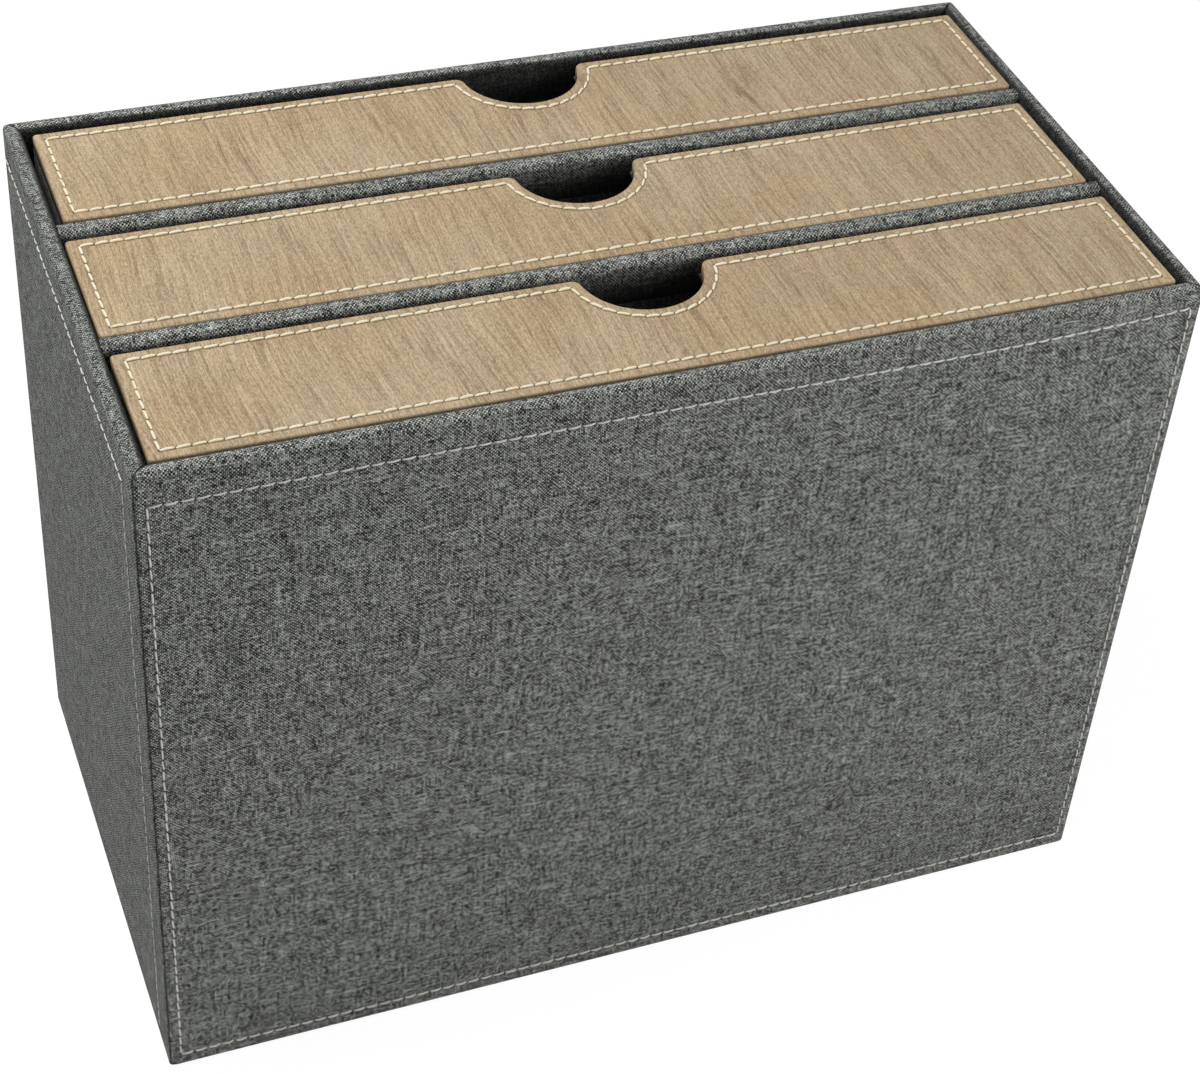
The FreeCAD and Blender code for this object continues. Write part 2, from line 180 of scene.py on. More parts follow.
# %% Camera
IMAGE_WIDTH = 1200
IMAGE_HEIGHT = 1074
SENSOR_WIDTH = 36.0
camera_place = Vector((-0.2623, -0.6276, 0.7069))
camera_forward = Vector((0.33657, 0.68502, -0.64612))
camera_up = Vector((0.18043, 0.62652, 0.75823))
focal_length_px = 2643.5
picture_centre_px = (700.0, 510.0)


def camera_matrix(place, forward, up):
    back = -forward.normalized()
    right = up.cross(back).normalized()
    return Matrix.Translation(place) @ Matrix((right, back.cross(right), back)).transposed().to_4x4()


camera_data = bpy.data.cameras.new("camera")
camera_data.sensor_width = SENSOR_WIDTH
camera_data.lens = focal_length_px / IMAGE_WIDTH * SENSOR_WIDTH
camera_data.shift_x = (IMAGE_WIDTH / 2 - picture_centre_px[0]) / IMAGE_WIDTH
camera_data.shift_y = (picture_centre_px[1] - IMAGE_HEIGHT / 2) / IMAGE_WIDTH
camera_data.clip_end = 20.0
camera = bpy.data.objects.new("camera", camera_data)
scene.collection.objects.link(camera)
camera.matrix_world = camera_matrix(camera_place, camera_forward, camera_up)
scene.camera = camera
print("lens", round(camera_data.lens, 1), "mm")

# %% [markdown]
# ## Light and floor
# A plain white sky gives the even light of a studio tent. A large soft lamp overhead makes the drawer
# fronts and the rims brighter than the upright panels, as in the photograph, and a weaker one at the
# right lights the near panel, more towards its right end.
# The floor shows pure white to the camera, but it still takes the soft shadow of the box.

# %% World
SKY_STRENGTH = 0.2
WHITE = (1.0, 1.0, 1.0, 1.0)
world = bpy.data.worlds.new("studio")
scene.world = world
world.use_nodes = True
world.node_tree.nodes.clear()
graph = Graph(world.node_tree)
lit = graph.first("ShaderNodeBackground", {"Color": WHITE, "Strength": SKY_STRENGTH})
seen = graph.first("ShaderNodeBackground", {"Color": WHITE, "Strength": 1.0})
rays = graph.add("ShaderNodeLightPath").outputs
looked_at = graph.math("MAXIMUM", rays["Is Camera Ray"], rays["Is Transmission Ray"])
looked_at = graph.math("MAXIMUM", looked_at, rays["Is Glossy Ray"])
sky = graph.first("ShaderNodeMixShader", {0: looked_at, 1: lit, 2: seen})
graph.add("ShaderNodeOutputWorld", {"Surface": sky})
print("sky strength", SKY_STRENGTH)

# %% Lamps
box_middle = Vector((0.0, 0.0, case_height / 2))


def add_lamp(name, place, size, power):
    """A square lamp that shines at the middle of the box. Places in metres, power in watts."""
    data = bpy.data.lights.new(name, "AREA")
    data.shape = "SQUARE"
    data.size = size
    data.energy = power
    lamp = bpy.data.objects.new(name, data)
    scene.collection.objects.link(lamp)
    lamp.location = place
    lamp.rotation_mode = "QUATERNION"
    lamp.rotation_quaternion = (box_middle - Vector(place)).to_track_quat("-Z", "Y")


add_lamp("overhead", place=(-0.38, 0.15, 0.93), size=0.5, power=4.8)
add_lamp("front_right", place=(0.5, -0.62, 0.55), size=0.45, power=2.5)
print("lamps:", ", ".join(lamp.name for lamp in bpy.data.lights))

# %% Floor
FLOOR_HALF = 3.0
FLOOR_GREY = (0.8, 0.8, 0.8, 1.0)
FLOOR_ROUGHNESS = 0.9
FLOOR_WHITENING = 0.78
FLOOR_GLOW = 1.19
floor_mesh = bpy.data.meshes.new("floor")
floor_corners = [(FLOOR_HALF * x, FLOOR_HALF * y, 0) for x, y in ((-1, -1), (1, -1), (1, 1), (-1, 1))]
floor_mesh.from_pydata(floor_corners, [], [(0, 1, 2, 3)])
floor = bpy.data.objects.new("floor", floor_mesh)
scene.collection.objects.link(floor)
floor_paint = bpy.data.materials.new("floor_paint")
floor_paint.use_nodes = True
graph = Graph(floor_paint.node_tree)
paint = graph.tree.nodes["Principled BSDF"]
paint.inputs["Base Color"].default_value = FLOOR_GREY
paint.inputs["Roughness"].default_value = FLOOR_ROUGHNESS
glow = graph.first("ShaderNodeEmission", {"Strength": FLOOR_GLOW})
whiter = graph.times(graph.add("ShaderNodeLightPath").outputs["Is Camera Ray"], FLOOR_WHITENING)
mixed = graph.first("ShaderNodeMixShader", {0: whiter, 1: paint.outputs[0], 2: glow})
graph.give(graph.tree.nodes["Material Output"].inputs["Surface"], mixed)
floor_mesh.materials.append(floor_paint)
print("floor", 2 * FLOOR_HALF, "m wide")

# %% [markdown]
# ## The place of a point on the cloth
# A weave is flat, so a point needs two numbers: how far it is along the cloth and across it. Pieces
# made in this lesson carry a UV map with those lengths in millimetres. The construction's own pieces
# have none, so a group reads the object's coordinates and drops the axis that the face looks along.
# Every length inside the groups is in millimetres.

# %% Group: flat place
flat_place, graph, start, end = new_group(
    "flat_place", [("Point", "vector"), ("Facing", "vector")], [("Place", "vector")])
point = graph.split(start["Point"])
face = graph.split(start["Facing"])
size_x, size_y, size_z = (graph.math("ABSOLUTE", face[axis]) for axis in range(3))
looks_x = graph.math("GREATER_THAN", size_x, graph.math("MAXIMUM", size_y, size_z))
looks_z = graph.math("GREATER_THAN", size_z, graph.math("MAXIMUM", size_x, size_y))
along = graph.mix(looks_x, point[0], point[1])
across = graph.mix(looks_z, point[2], point[1])
graph.give(end["Place"], graph.in_mm(graph.vector(along, across)))
print("group:", flat_place.name)

# %% [markdown]
# ## The mottled cloth
# The box is covered in a plain weave. Each yarn is lighter in some stretches and darker in others, so
# short light dashes run up and across the cloth. The group counts which yarn a point lies on, gives
# each yarn its own slow noise along its length, and lets the two sets of yarns go over and under each
# other like a chessboard. Thicker and thinner runs of yarn lie side by side, so faint stripes also run
# both ways.

# %% Weave: which yarn a point lies on
YARN_WIDTH = 0.56
WANDER_SCALE = 0.09
WANDER = 1.6
mottled_weave, graph, start, end = new_group(
    "mottled_weave",
    [("Place", "vector"), ("Dark", "colour"), ("Light", "colour"), ("Contrast", "number")],
    [("Colour", "colour"), ("Height", "number"), ("Fuzz", "number")])
place = graph.split(start["Place"])
wander = graph.centred(graph.noise(start["Place"], WANDER_SCALE, detail=1.0), WANDER)
u = graph.parted(graph.total(place[0], wander), YARN_WIDTH)
v = graph.parted(graph.total(place[1], wander), YARN_WIDTH)
warp_number = graph.math("FLOOR", u)
weft_number = graph.math("FLOOR", v)
over = graph.math("PINGPONG", graph.total(warp_number, weft_number), 1.0)
print("yarns are", YARN_WIDTH, "mm wide")

# %% Weave: tone of a yarn
YARN_STEP = 7.31
WARP_DASH = 3.0
WEFT_DASH = 4.8
WARP_SLUB = 4.8
WEFT_SLUB = 7.2
SLUB_SPAN = (0.7, 0.82)
WARP_SLUB_LOSS = 0.04
HIDDEN_SHARE = 0.3


def yarn_tone(number, along, length, shift=0.0, detail=1.0):
    """A slow noise along one yarn, different for each. shift keeps two sets of yarns apart."""
    spot = graph.vector(graph.times(graph.total(number, shift), YARN_STEP), graph.parted(along, length))
    return graph.noise(spot, 1.0, detail, roughness=0.6, dimensions="2D")


warp_tone = yarn_tone(warp_number, place[1], WARP_DASH)
weft_tone = yarn_tone(weft_number, place[0], WEFT_DASH, shift=40.3)
yarn = graph.mix(graph.stretch(over, 0.0, 1.0, HIDDEN_SHARE, 1.0 - HIDDEN_SHARE), weft_tone, warp_tone)
warp_slub = yarn_tone(warp_number, place[1], WARP_SLUB, shift=91.7, detail=0.0)
weft_slub = yarn_tone(weft_number, place[0], WEFT_SLUB, shift=73.1, detail=0.0)
slub = graph.math("MAXIMUM", graph.minus(warp_slub, WARP_SLUB_LOSS), weft_slub)
slub = graph.stretch(slub, *SLUB_SPAN)
cell = graph.first("ShaderNodeTexWhiteNoise", {"Vector": graph.vector(warp_number, weft_number)},
                   noise_dimensions="2D")
print("dashes", WARP_DASH, "and", WEFT_DASH, "mm long; slubs", WARP_SLUB, "and", WEFT_SLUB, "mm")

# %% Weave: relief
DIVE = 0.55


def hump(value):
    """0 at the edges of a yarn and 1 on its crest."""
    side = graph.minus(graph.times(graph.math("FRACT", value), 2.0), 1.0)
    return graph.minus(1.0, graph.times(side, side))


crest = graph.mix(over, hump(v), hump(u))
along_crest = graph.mix(over, hump(u), hump(v))
height = graph.times(graph.math("SQRT", crest), graph.mix(along_crest, DIVE, 1.0))
print("a yarn sinks to", DIVE, "of its height where it dives under")

# %% Weave: stripes and clouds
STRIPE_WIDTH = 1.2
STRIPE_LENGTH = 12.0
STRIPE_SHARE = 0.36
CLOUD_SCALE = 0.05
FIBRE_SCALE = 5.0


def stripe(across, along):
    """Soft stripes along a set of yarns. across and along are the place on the cloth, in mm."""
    spot = graph.vector(graph.parted(across, STRIPE_WIDTH), graph.parted(along, STRIPE_LENGTH))
    return graph.centred(graph.noise(spot, 1.0, detail=1.0, dimensions="2D"), STRIPE_SHARE)


weft_stripe = stripe(place[1], place[0])
warp_stripe = stripe(place[0], place[1])
cloud = graph.noise(start["Place"], CLOUD_SCALE)
graph.give(end["Fuzz"], graph.noise(start["Place"], FIBRE_SCALE, detail=1.0))
print("stripes are", STRIPE_WIDTH, "mm wide")

# %% Weave: all together
YARN_SHARE = 0.55
CELL_SHARE = 0.62
OVER_SHARE = 0.42
CLOUD_SHARE = 0.06
# Painted shade: the weave is darker where a yarn dives under the other, in the gaps between yarns.
GAP_SHADE_SHARE = 0.75
GAP_SHADE_MIDDLE = 0.6
SLUB_SHARE = 0.24
MIDDLE_SHADE = 0.17
shade = graph.total(
    graph.centred(yarn, YARN_SHARE), graph.centred(cell, CELL_SHARE), graph.centred(over, OVER_SHARE),
    graph.centred(cloud, CLOUD_SHARE), weft_stripe, warp_stripe,
    graph.centred(height, GAP_SHADE_SHARE, GAP_SHADE_MIDDLE), graph.times(slub, SLUB_SHARE))
shade = graph.total(graph.times(shade, start["Contrast"]), MIDDLE_SHADE)
graph.give(end["Colour"], graph.mix_colour(graph.stretch(shade, 0.0, 1.0), start["Dark"], start["Light"]))
graph.give(end["Height"], height)
print("group:", mottled_weave.name)

# %% [markdown]
# ## The oak print
# The drawer fronts are leathercloth with the look of pale oak. Its grain runs from the near edge to
# the far edge of each front, leaning a little. Noise that is drawn out along the grain makes it:
# soft browner patches, long thin lines in loose bundles, and short pressed pores. The long lines are
# where a slow noise crosses its middle value, so they part and meet like the year rings of a board.
# Another slow noise bends them all, so that no line is ruled.

# %% Oak: the way of the grain
GRAIN_LEAN = math.radians(2.0)
SLOW_BEND_SCALE = 0.012
SLOW_BEND = 11.0
QUICK_BEND_SCALE = 0.07
QUICK_BEND = 1.6
oak_print, graph, start, end = new_group(
    "oak_print",
    [("Point", "vector"), ("Pale", "colour"), ("Brown", "colour"), ("Pore", "colour"), ("Tint", "colour")],
    [("Colour", "colour"), ("Height", "number"), ("Sheen", "number")])
turned = graph.first("ShaderNodeMapping", {
    "Vector": graph.in_mm(start["Point"]), "Rotation": (0.0, 0.0, -GRAIN_LEAN)})
across = graph.split(turned)
slow_bend = graph.centred(graph.noise(turned, SLOW_BEND_SCALE, detail=1.0), SLOW_BEND)
quick_bend = graph.centred(graph.noise(turned, QUICK_BEND_SCALE, detail=1.0), QUICK_BEND)
bent = graph.total(across[0], slow_bend, quick_bend)
print("the grain leans", round(math.degrees(GRAIN_LEAN), 1), "degrees")

# %% Oak: streaks
BUNDLE_SPAN = (0.42, 0.62)
PORE_SPAN = (0.58, 0.74)
RING_WIDTH = 0.035
HAIR_WIDTH = 0.075


def streaks(width, length, detail=2.0, roughness=0.5, shift=0.0):
    """Noise that is drawn out along the grain: width and length are the size of one streak in mm."""
    spot = graph.vector(graph.parted(graph.total(bent, shift), width),
                        graph.parted(across[1], length), graph.parted(across[2], width))
    return graph.noise(spot, 1.0, detail, roughness)


def crossings(value, width):
    """1 where a noise passes its middle value, and 0 further off than width."""
    return graph.stretch(graph.math("ABSOLUTE", graph.centred(value, 1.0)), 0.0, width, 1.0, 0.0)


patches = streaks(width=7.0, length=60.0, roughness=0.55)
bundles = graph.stretch(streaks(width=8.0, length=50.0, detail=1.0, shift=300.0), *BUNDLE_SPAN)
rings = crossings(streaks(width=2.2, length=110.0, detail=0.0), RING_WIDTH)
hairs = crossings(streaks(width=0.9, length=60.0, detail=0.0, shift=50.0), HAIR_WIDTH)
fibres = streaks(width=0.55, length=16.0, detail=1.0, shift=120.0)
fine = streaks(width=0.3, length=1.1, detail=1.0, roughness=0.6)
pores = graph.stretch(streaks(width=0.3, length=1.8, detail=0.0, shift=90.0), *PORE_SPAN)
print("streaks: patches, bundles, rings, hairs, fibres, fine ones and pores")

# %% Oak: all together
HAIR_SHARE = 0.7
LOOSE_SHARE = 0.5
PATCH_SHARE = 0.6
LINE_SHARE = 0.68
FIBRE_SHARE = 1.5
FINE_SHARE = 2.4
PORE_SHARE = 0.4
GRAIN_SPAN = (-0.6, 0.9)
TINT_SCALE = 0.02
TINT_SPAN = (0.4, 0.62)
FINE_HEIGHT = 0.8
lines = graph.math("MAXIMUM", rings, graph.times(hairs, HAIR_SHARE))
lines = graph.times(lines, graph.mix(bundles, LOOSE_SHARE, 1.0))
grain = graph.total(graph.centred(patches, PATCH_SHARE), graph.times(lines, LINE_SHARE),
                    graph.centred(fibres, FIBRE_SHARE), graph.centred(fine, FINE_SHARE))
rosy = graph.stretch(graph.noise(turned, TINT_SCALE, detail=1.0), *TINT_SPAN)
colour = graph.mix_colour(graph.stretch(grain, *GRAIN_SPAN), start["Pale"], start["Brown"])
colour = graph.mix_colour(graph.times(pores, PORE_SHARE), colour, start["Pore"])
colour = graph.mix_colour(rosy, colour, start["Tint"], "MULTIPLY")
graph.give(end["Colour"], colour)
graph.give(end["Height"], graph.minus(graph.times(fine, FINE_HEIGHT), pores))
graph.give(end["Sheen"], patches)
print("group:", oak_print.name)

# %% [markdown]
# ## Finishes
# A material places a group, gives it the colours of this object, and adds what the surface does with
# light: how rough it is and how its relief catches the light.

# %% Material helper
NOISE_SPAN = (0.3, 0.7)
materials = {}


def new_material(name, roughness, specular):
    """The graph of a new material, and the inputs of its Principled shader."""
    material = bpy.data.materials.new(name)
    material.use_nodes = True
    graph = Graph(material.node_tree)
    shader = material.node_tree.nodes["Principled BSDF"]
    shader.inputs["Roughness"].default_value = roughness
    shader.inputs["Specular IOR Level"].default_value = specular
    materials[name] = material
    return graph, shader.inputs


def place_group(graph, tree, inputs):
    return graph.add("ShaderNodeGroup", inputs, node_tree=tree).outputs


def relief(graph, shader, height, distance_mm, strength):
    inputs = {"Height": height, "Distance": distance_mm * MM, "Strength": strength}
    graph.give(shader["Normal"], graph.first("ShaderNodeBump", inputs))


def point_on_piece(graph):
    """The cloth place of a point on one of the construction's own pieces."""
    where = graph.add("ShaderNodeTexCoord").outputs
    return place_group(graph, flat_place, {"Point": where["Object"], "Facing": where["Normal"]})["Place"]


# %% Cloth finishes
CLOTH_UV = "cloth_mm"
PAINTED_SHADE_NAME = "painted_shade"
PAINTED_SHADE_START = 0.15
PAINTED_SHADE_DARKEST = 0.85


def cloth_material(name, dark, light, uv=False, contrast=1.0):
    graph, shader = new_material(name, roughness=0.86, specular=0.2)
    place = graph.first("ShaderNodeUVMap", uv_map=CLOTH_UV) if uv else point_on_piece(graph)
    woven = place_group(graph, mottled_weave, {
        "Place": place, "Dark": dark, "Light": light, "Contrast": contrast})
    colour = woven["Colour"]
    if uv:
        # Painted shade: where a mesh carries the shade attribute, the colour goes towards the dark tone.
        shade_share = graph.add("ShaderNodeAttribute", attribute_name=PAINTED_SHADE_NAME).outputs["Fac"]
        colour = graph.mix_colour(graph.stretch(shade_share, PAINTED_SHADE_START, 1.0, 0.0, PAINTED_SHADE_DARKEST), colour, dark)
    graph.give(shader["Base Color"], colour)
    graph.give(shader["Roughness"], graph.stretch(woven["Fuzz"], *NOISE_SPAN, start=0.8, end=0.95))
    relief(graph, shader, woven["Height"], distance_mm=0.12, strength=0.5)


GREY_DARK = tone(8, 9, 8)
GREY_LIGHT = tone(226, 230, 223)
cloth_material("grey_cloth", GREY_DARK, GREY_LIGHT)
cloth_material("grey_cloth_sewn", GREY_DARK, GREY_LIGHT, uv=True)
cloth_material("grey_cloth_narrow", GREY_DARK, GREY_LIGHT, uv=True, contrast=0.78)
cloth_material("lining_cloth", tone(28, 29, 29), tone(132, 134, 132), contrast=0.8)

# %% Leathercloth finish
graph, shader = new_material("oak_leathercloth", roughness=0.5, specular=0.35)
where = graph.add("ShaderNodeTexCoord").outputs["Object"]
oak = place_group(graph, oak_print, {
    "Point": where, "Pale": tone(217, 195, 160), "Brown": tone(140, 117, 89), "Pore": tone(114, 92, 67),
    "Tint": tone(250, 245, 240)})
graph.give(shader["Base Color"], oak["Colour"])
graph.give(shader["Roughness"], graph.stretch(oak["Sheen"], *NOISE_SPAN, start=0.44, end=0.58))
relief(graph, shader, oak["Height"], distance_mm=0.05, strength=0.35)

# %% Board and thread finishes
def noisy_material(name, dark, light, coarse, fine, share, span, surface, depth):
    """Two noises of (scale, detail, roughness) mix dark and light, the fine one times share. The relief
    follows the fine one."""
    graph, shader = new_material(name, **surface)
    where = graph.add("ShaderNodeTexCoord").outputs["Object"]
    coarse, fine = graph.noise(where, *coarse), graph.noise(where, *fine)
    mixed = graph.stretch(graph.total(coarse, graph.times(fine, share)), *span)
    graph.give(shader["Base Color"], graph.mix_colour(mixed, dark, light))
    relief(graph, shader, fine, **depth)


def board_material(name, dark, light, scale):
    noisy_material(name, dark, light, coarse=(scale, 5.0, 0.7), fine=(scale * 6, 2.0, 0.6), share=0.4,
                   span=(0.45, 0.95), surface={"roughness": 0.85, "specular": 0.2},
                   depth={"distance_mm": 0.05, "strength": 0.4})


def thread_material(name, dark, light):
    noisy_material(name, dark, light, coarse=(160.0, 1.0), fine=(2600.0, 1.0), share=1.0,
                   span=(0.8, 1.2), surface={"roughness": 0.42, "specular": 0.5},
                   depth={"distance_mm": 0.08, "strength": 0.5})


board_material("fibreboard", tone(134, 108, 82), tone(172, 146, 116), scale=420.0)
board_material("greyboard", tone(120, 116, 108), tone(158, 153, 144), scale=500.0)
thread_material("cream_thread", tone(252, 240, 202), tone(255, 250, 228))
thread_material("grey_thread", tone(240, 240, 232), tone(255, 255, 248))
# The needle holes get a dark finish: painted shade inside the holes.
thread_material("needle_hole_shade", tone(38, 34, 30), tone(58, 52, 46))
print("materials:", ", ".join(materials))

# %% [markdown]
# ## Finishes on the construction's own pieces
# Boards, linings and the drawers' outer cloth keep the construction's shape. Each only gets a finish.

# %% Dress the construction
DRAWER_BOARDS = ("_front_board", "_floor_board", "_wall_board")


def finish_for(node):
    if node.endswith("_front_cover"):
        return "oak_leathercloth"
    if node.endswith("_lining"):
        return "lining_cloth"
    if node.endswith(("_cover", "_wrap")):
        return "grey_cloth"
    return "greyboard" if node.endswith(DRAWER_BOARDS) else "fibreboard"


for name, piece in nodes.items():
    piece.data.materials.clear()
    piece.data.materials.append(materials[finish_for(name)])
print("dressed", len(nodes), "pieces of the construction")

# %% [markdown]
# ## Rows of stitches
# A sewing machine makes one kind of stitch again and again along a line. Geometry Nodes do the same:
# each line is cut into equal steps, a bead of thread goes on each step, and a small dark ball, the
# painted shade of a needle hole, goes between two beads. Every side of a panel is a line of its own, so
# that the corners stay sharp.

# %% Stitch tree: inputs
STITCH_INPUTS = {
    "Geometry": ["Geometry"], "Float": ["Pitch", "Stitch length", "Thread", "Rise", "Slant", "Hole"],
    "Int": ["Seed"], "Material": ["Thread finish", "Hole finish"]}
stitch_tree = bpy.data.node_groups.new("row_of_stitches", "GeometryNodeTree")
for kind, labels in STITCH_INPUTS.items():
    for label in labels:
        stitch_tree.interface.new_socket(label, in_out="INPUT", socket_type="NodeSocket" + kind)
stitch_tree.interface.new_socket("Geometry", in_out="OUTPUT", socket_type="NodeSocketGeometry")
graph = Graph(stitch_tree)
given = graph.add("NodeGroupInput").outputs
print("inputs:", ", ".join(label for labels in STITCH_INPUTS.values() for label in labels))

# %% Stitch tree: places along a line
def named(name, kind):
    return graph.first("GeometryNodeInputNamedAttribute", {"Name": name}, data_type=kind)


lines = graph.first("GeometryNodeMeshToCurve", {0: given["Geometry"]})
length = graph.add("GeometryNodeSplineLength").outputs["Length"]
steps = graph.math("ROUND", graph.parted(length, given["Pitch"]))
count = graph.total(graph.times(steps, 2.0), 1.0)
points = graph.first("GeometryNodeResampleCurve", {"Curve": lines, "Count": count}, mode="COUNT")
index = graph.add("GeometryNodeSplineParameter").outputs["Index"]
between = graph.math("MODULO", index, 2.0)
at_hole = graph.minus(1.0, between)
tangent = graph.first("GeometryNodeInputTangent")
facing = named("facing", "FLOAT_VECTOR")
turn = graph.first("FunctionNodeAlignRotationToVector", {"Vector": tangent}, axis="X")
turn = graph.first("FunctionNodeAlignRotationToVector", {"Rotation": turn, "Vector": facing},
                   axis="Z", pivot_axis="X")
print("a needle hole at each step, and a bead between two holes")

# %% Stitch tree: one bead of thread
BEAD_SIDES = 6
BEAD_END = -0.6
BEAD_CREST = 2.0
TAPER = 0.55
TAPER_POWER = 5.0
half_length = graph.times(given["Stitch length"], 0.5)
low = graph.times(given["Rise"], BEAD_END)
bead = graph.first("GeometryNodeCurveQuadraticBezier", {
    "Resolution": BEAD_SIDES,
    "Start": graph.vector(graph.times(half_length, -1.0), 0.0, low),
    "Middle": graph.vector(0.0, 0.0, graph.times(given["Rise"], BEAD_CREST)),
    "End": graph.vector(half_length, 0.0, low)})
share = graph.add("GeometryNodeSplineParameter").outputs["Factor"]
from_middle = graph.math("ABSOLUTE", graph.minus(graph.times(share, 2.0), 1.0))
taper = graph.minus(1.0, graph.times(graph.math("POWER", from_middle, TAPER_POWER), TAPER))
radius = graph.times(graph.times(given["Thread"], 0.5), taper)
ring = graph.first("GeometryNodeCurvePrimitiveCircle", {"Resolution": BEAD_SIDES, "Radius": 1.0},
                   mode="RADIUS")
bead = graph.first("GeometryNodeCurveToMesh", {
    "Curve": bead, "Profile Curve": ring, "Scale": radius, "Fill Caps": True})
print("a bead has", BEAD_SIDES, "sides")

# %% Stitch tree: beads that differ a little
SWING = 0.035
SIZE_LOW = (0.95, 0.88, 0.85)
SIZE_HIGH = (1.03, 1.1, 1.12)
swing = graph.add("FunctionNodeRandomValue", {2: -SWING, 3: SWING, "Seed": given["Seed"]},
                  data_type="FLOAT").outputs[1]
lean = graph.vector(0.0, 0.0, graph.total(given["Slant"], swing))
lean = graph.first("FunctionNodeEulerToRotation", {0: lean})
turn_bead = graph.first("FunctionNodeRotateRotation", {"Rotation": turn, "Rotate By": lean},
                        rotation_space="LOCAL")
size = graph.first("FunctionNodeRandomValue", {0: SIZE_LOW, 1: SIZE_HIGH, "Seed": given["Seed"]},
                   data_type="FLOAT_VECTOR")
fineness = named("fineness", "FLOAT")
size = graph.first("ShaderNodeVectorMath", {0: size, 1: graph.vector(1.0, fineness, fineness)},
                   operation="MULTIPLY")
beads = graph.first("GeometryNodeInstanceOnPoints", {
    "Points": points, "Selection": between, "Instance": bead, "Rotation": turn_bead, "Scale": size})
print("beads swing by up to", round(math.degrees(SWING), 1), "degrees")

# %% Stitch tree: needle holes and finishes
# The needle holes are small dark balls that stand for the shade inside each hole: painted shade.
HOLE_SHAPE = (1.0, 0.8, 0.35)
ball = graph.first("GeometryNodeMeshIcoSphere", {"Radius": given["Hole"], "Subdivisions": 1})
ball = graph.first("GeometryNodeStoreNamedAttribute", {"Geometry": ball, "Name": "hole", "Value": True},
                   data_type="BOOLEAN", domain="FACE")
holes = graph.first("GeometryNodeInstanceOnPoints", {
    "Points": points, "Selection": at_hole, "Instance": ball, "Rotation": turn, "Scale": HOLE_SHAPE})
joined = graph.add("GeometryNodeJoinGeometry")
for part in (beads, holes):
    stitch_tree.links.new(part, joined.inputs[0])
smooth = graph.first("GeometryNodeSetShadeSmooth", {0: joined.outputs[0]})
real = graph.first("GeometryNodeRealizeInstances", {0: smooth})
sewn = graph.first("GeometryNodeSetMaterial", {"Geometry": real, "Material": given["Thread finish"]})
sewn = graph.first("GeometryNodeSetMaterial", {
    "Geometry": sewn, "Selection": named("hole", "BOOLEAN"), "Material": given["Hole finish"]})
stitch_tree.links.new(sewn, graph.add("NodeGroupOutput").inputs[0])
print("tree:", stitch_tree.name, "with", len(stitch_tree.nodes), "nodes")

# %% Guide lines
def guide_lines(name, lines):
    """An object whose edges are the lines of a set. Each point knows its facing and its fineness."""
    vertices, edges, facing, fineness = [], [], [], []
    for points, direction, share in lines:
        first = len(vertices)
        vertices += points
        edges += [(first + i, first + i + 1) for i in range(len(points) - 1)]
        facing += [direction] * len(points)
        fineness += [share] * len(points)
    mesh = bpy.data.meshes.new(name + "_lines")
    mesh.from_pydata(vertices, edges, [])
    attribute = mesh.attributes.new("facing", "FLOAT_VECTOR", "POINT")
    attribute.data.foreach_set("vector", [x for direction in facing for x in direction])
    mesh.attributes.new("fineness", "FLOAT", "POINT").data.foreach_set("value", fineness)
    guide = bpy.data.objects.new(name + "_lines", mesh)
    scene.collection.objects.link(guide)
    return guide


# %% Sew a set of lines
STITCH_PITCH = 4.4 * MM
SURFACE_LIFT = 0.05 * MM


def run_stitch_tree(guide, inputs):
    """The plain mesh that the stitch tree makes of a guide. The guide is removed."""
    modifier = guide.modifiers.new("sewing", "NODES")
    modifier.node_group = stitch_tree
    for item in stitch_tree.interface.items_tree:
        if item.in_out == "INPUT" and item.name in inputs:
            modifier[item.identifier] = inputs[item.name]
    bpy.context.view_layer.update()
    graph_of_scene = bpy.context.evaluated_depsgraph_get()
    sewn = bpy.data.meshes.new_from_object(guide.evaluated_get(graph_of_scene))
    bpy.data.objects.remove(guide)
    return sewn


def sew(name, lines, body, finish, seed, slant, stitch):
    """lines holds (points, facing, fineness): each is a row of stitches on a surface that looks along
    facing, and fineness scales how thick its thread is. stitch holds sizes in mm by input."""
    inputs = {"Pitch": STITCH_PITCH, "Slant": slant, "Seed": seed, "Thread finish": materials[finish],
              "Hole finish": materials["needle_hole_shade"]}
    inputs.update({label: size * MM for label, size in stitch.items()})
    sewn = run_stitch_tree(guide_lines(name, lines), inputs)
    sewn.name = name
    piece = bpy.data.objects.new(name, sewn)
    scene.collection.objects.link(piece)
    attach(piece, body)
    print(name, "has", len(sewn.polygons), "faces")


# %% [markdown]
# ## Stitches on the walls
# A single row of pale thread runs round each broad wall, close to its edges. Its upper side wasn't
# sewn quite straight: it comes nearer to the rim towards the right end, and drops a little towards the
# left. On a narrow wall the row runs down beside the near corner and along the top only.

# %% Wall stitches
PANEL_SIDE_INSET = 3.8 * MM
PANEL_TOP_INSET = 10.3 * MM
TOP_ROW_RISE = 3.2 * MM
TOP_ROW_DROP = 1.1 * MM
TOP_ROW_POINTS = 40
PANEL_BASE_INSET = 5.5 * MM
END_NEAR_INSET = 13.0 * MM
END_FAR_INSET = 2.0 * MM
END_TOP_INSET = 12.0 * MM
END_FINENESS = 0.65


def row_rise(share):
    """How far the upper row lies above its level, where share is -1 at its left end and 1 at its right."""
    return TOP_ROW_RISE * max(share, 0.0) ** 4 - TOP_ROW_DROP * max(-share, 0.0) ** 2


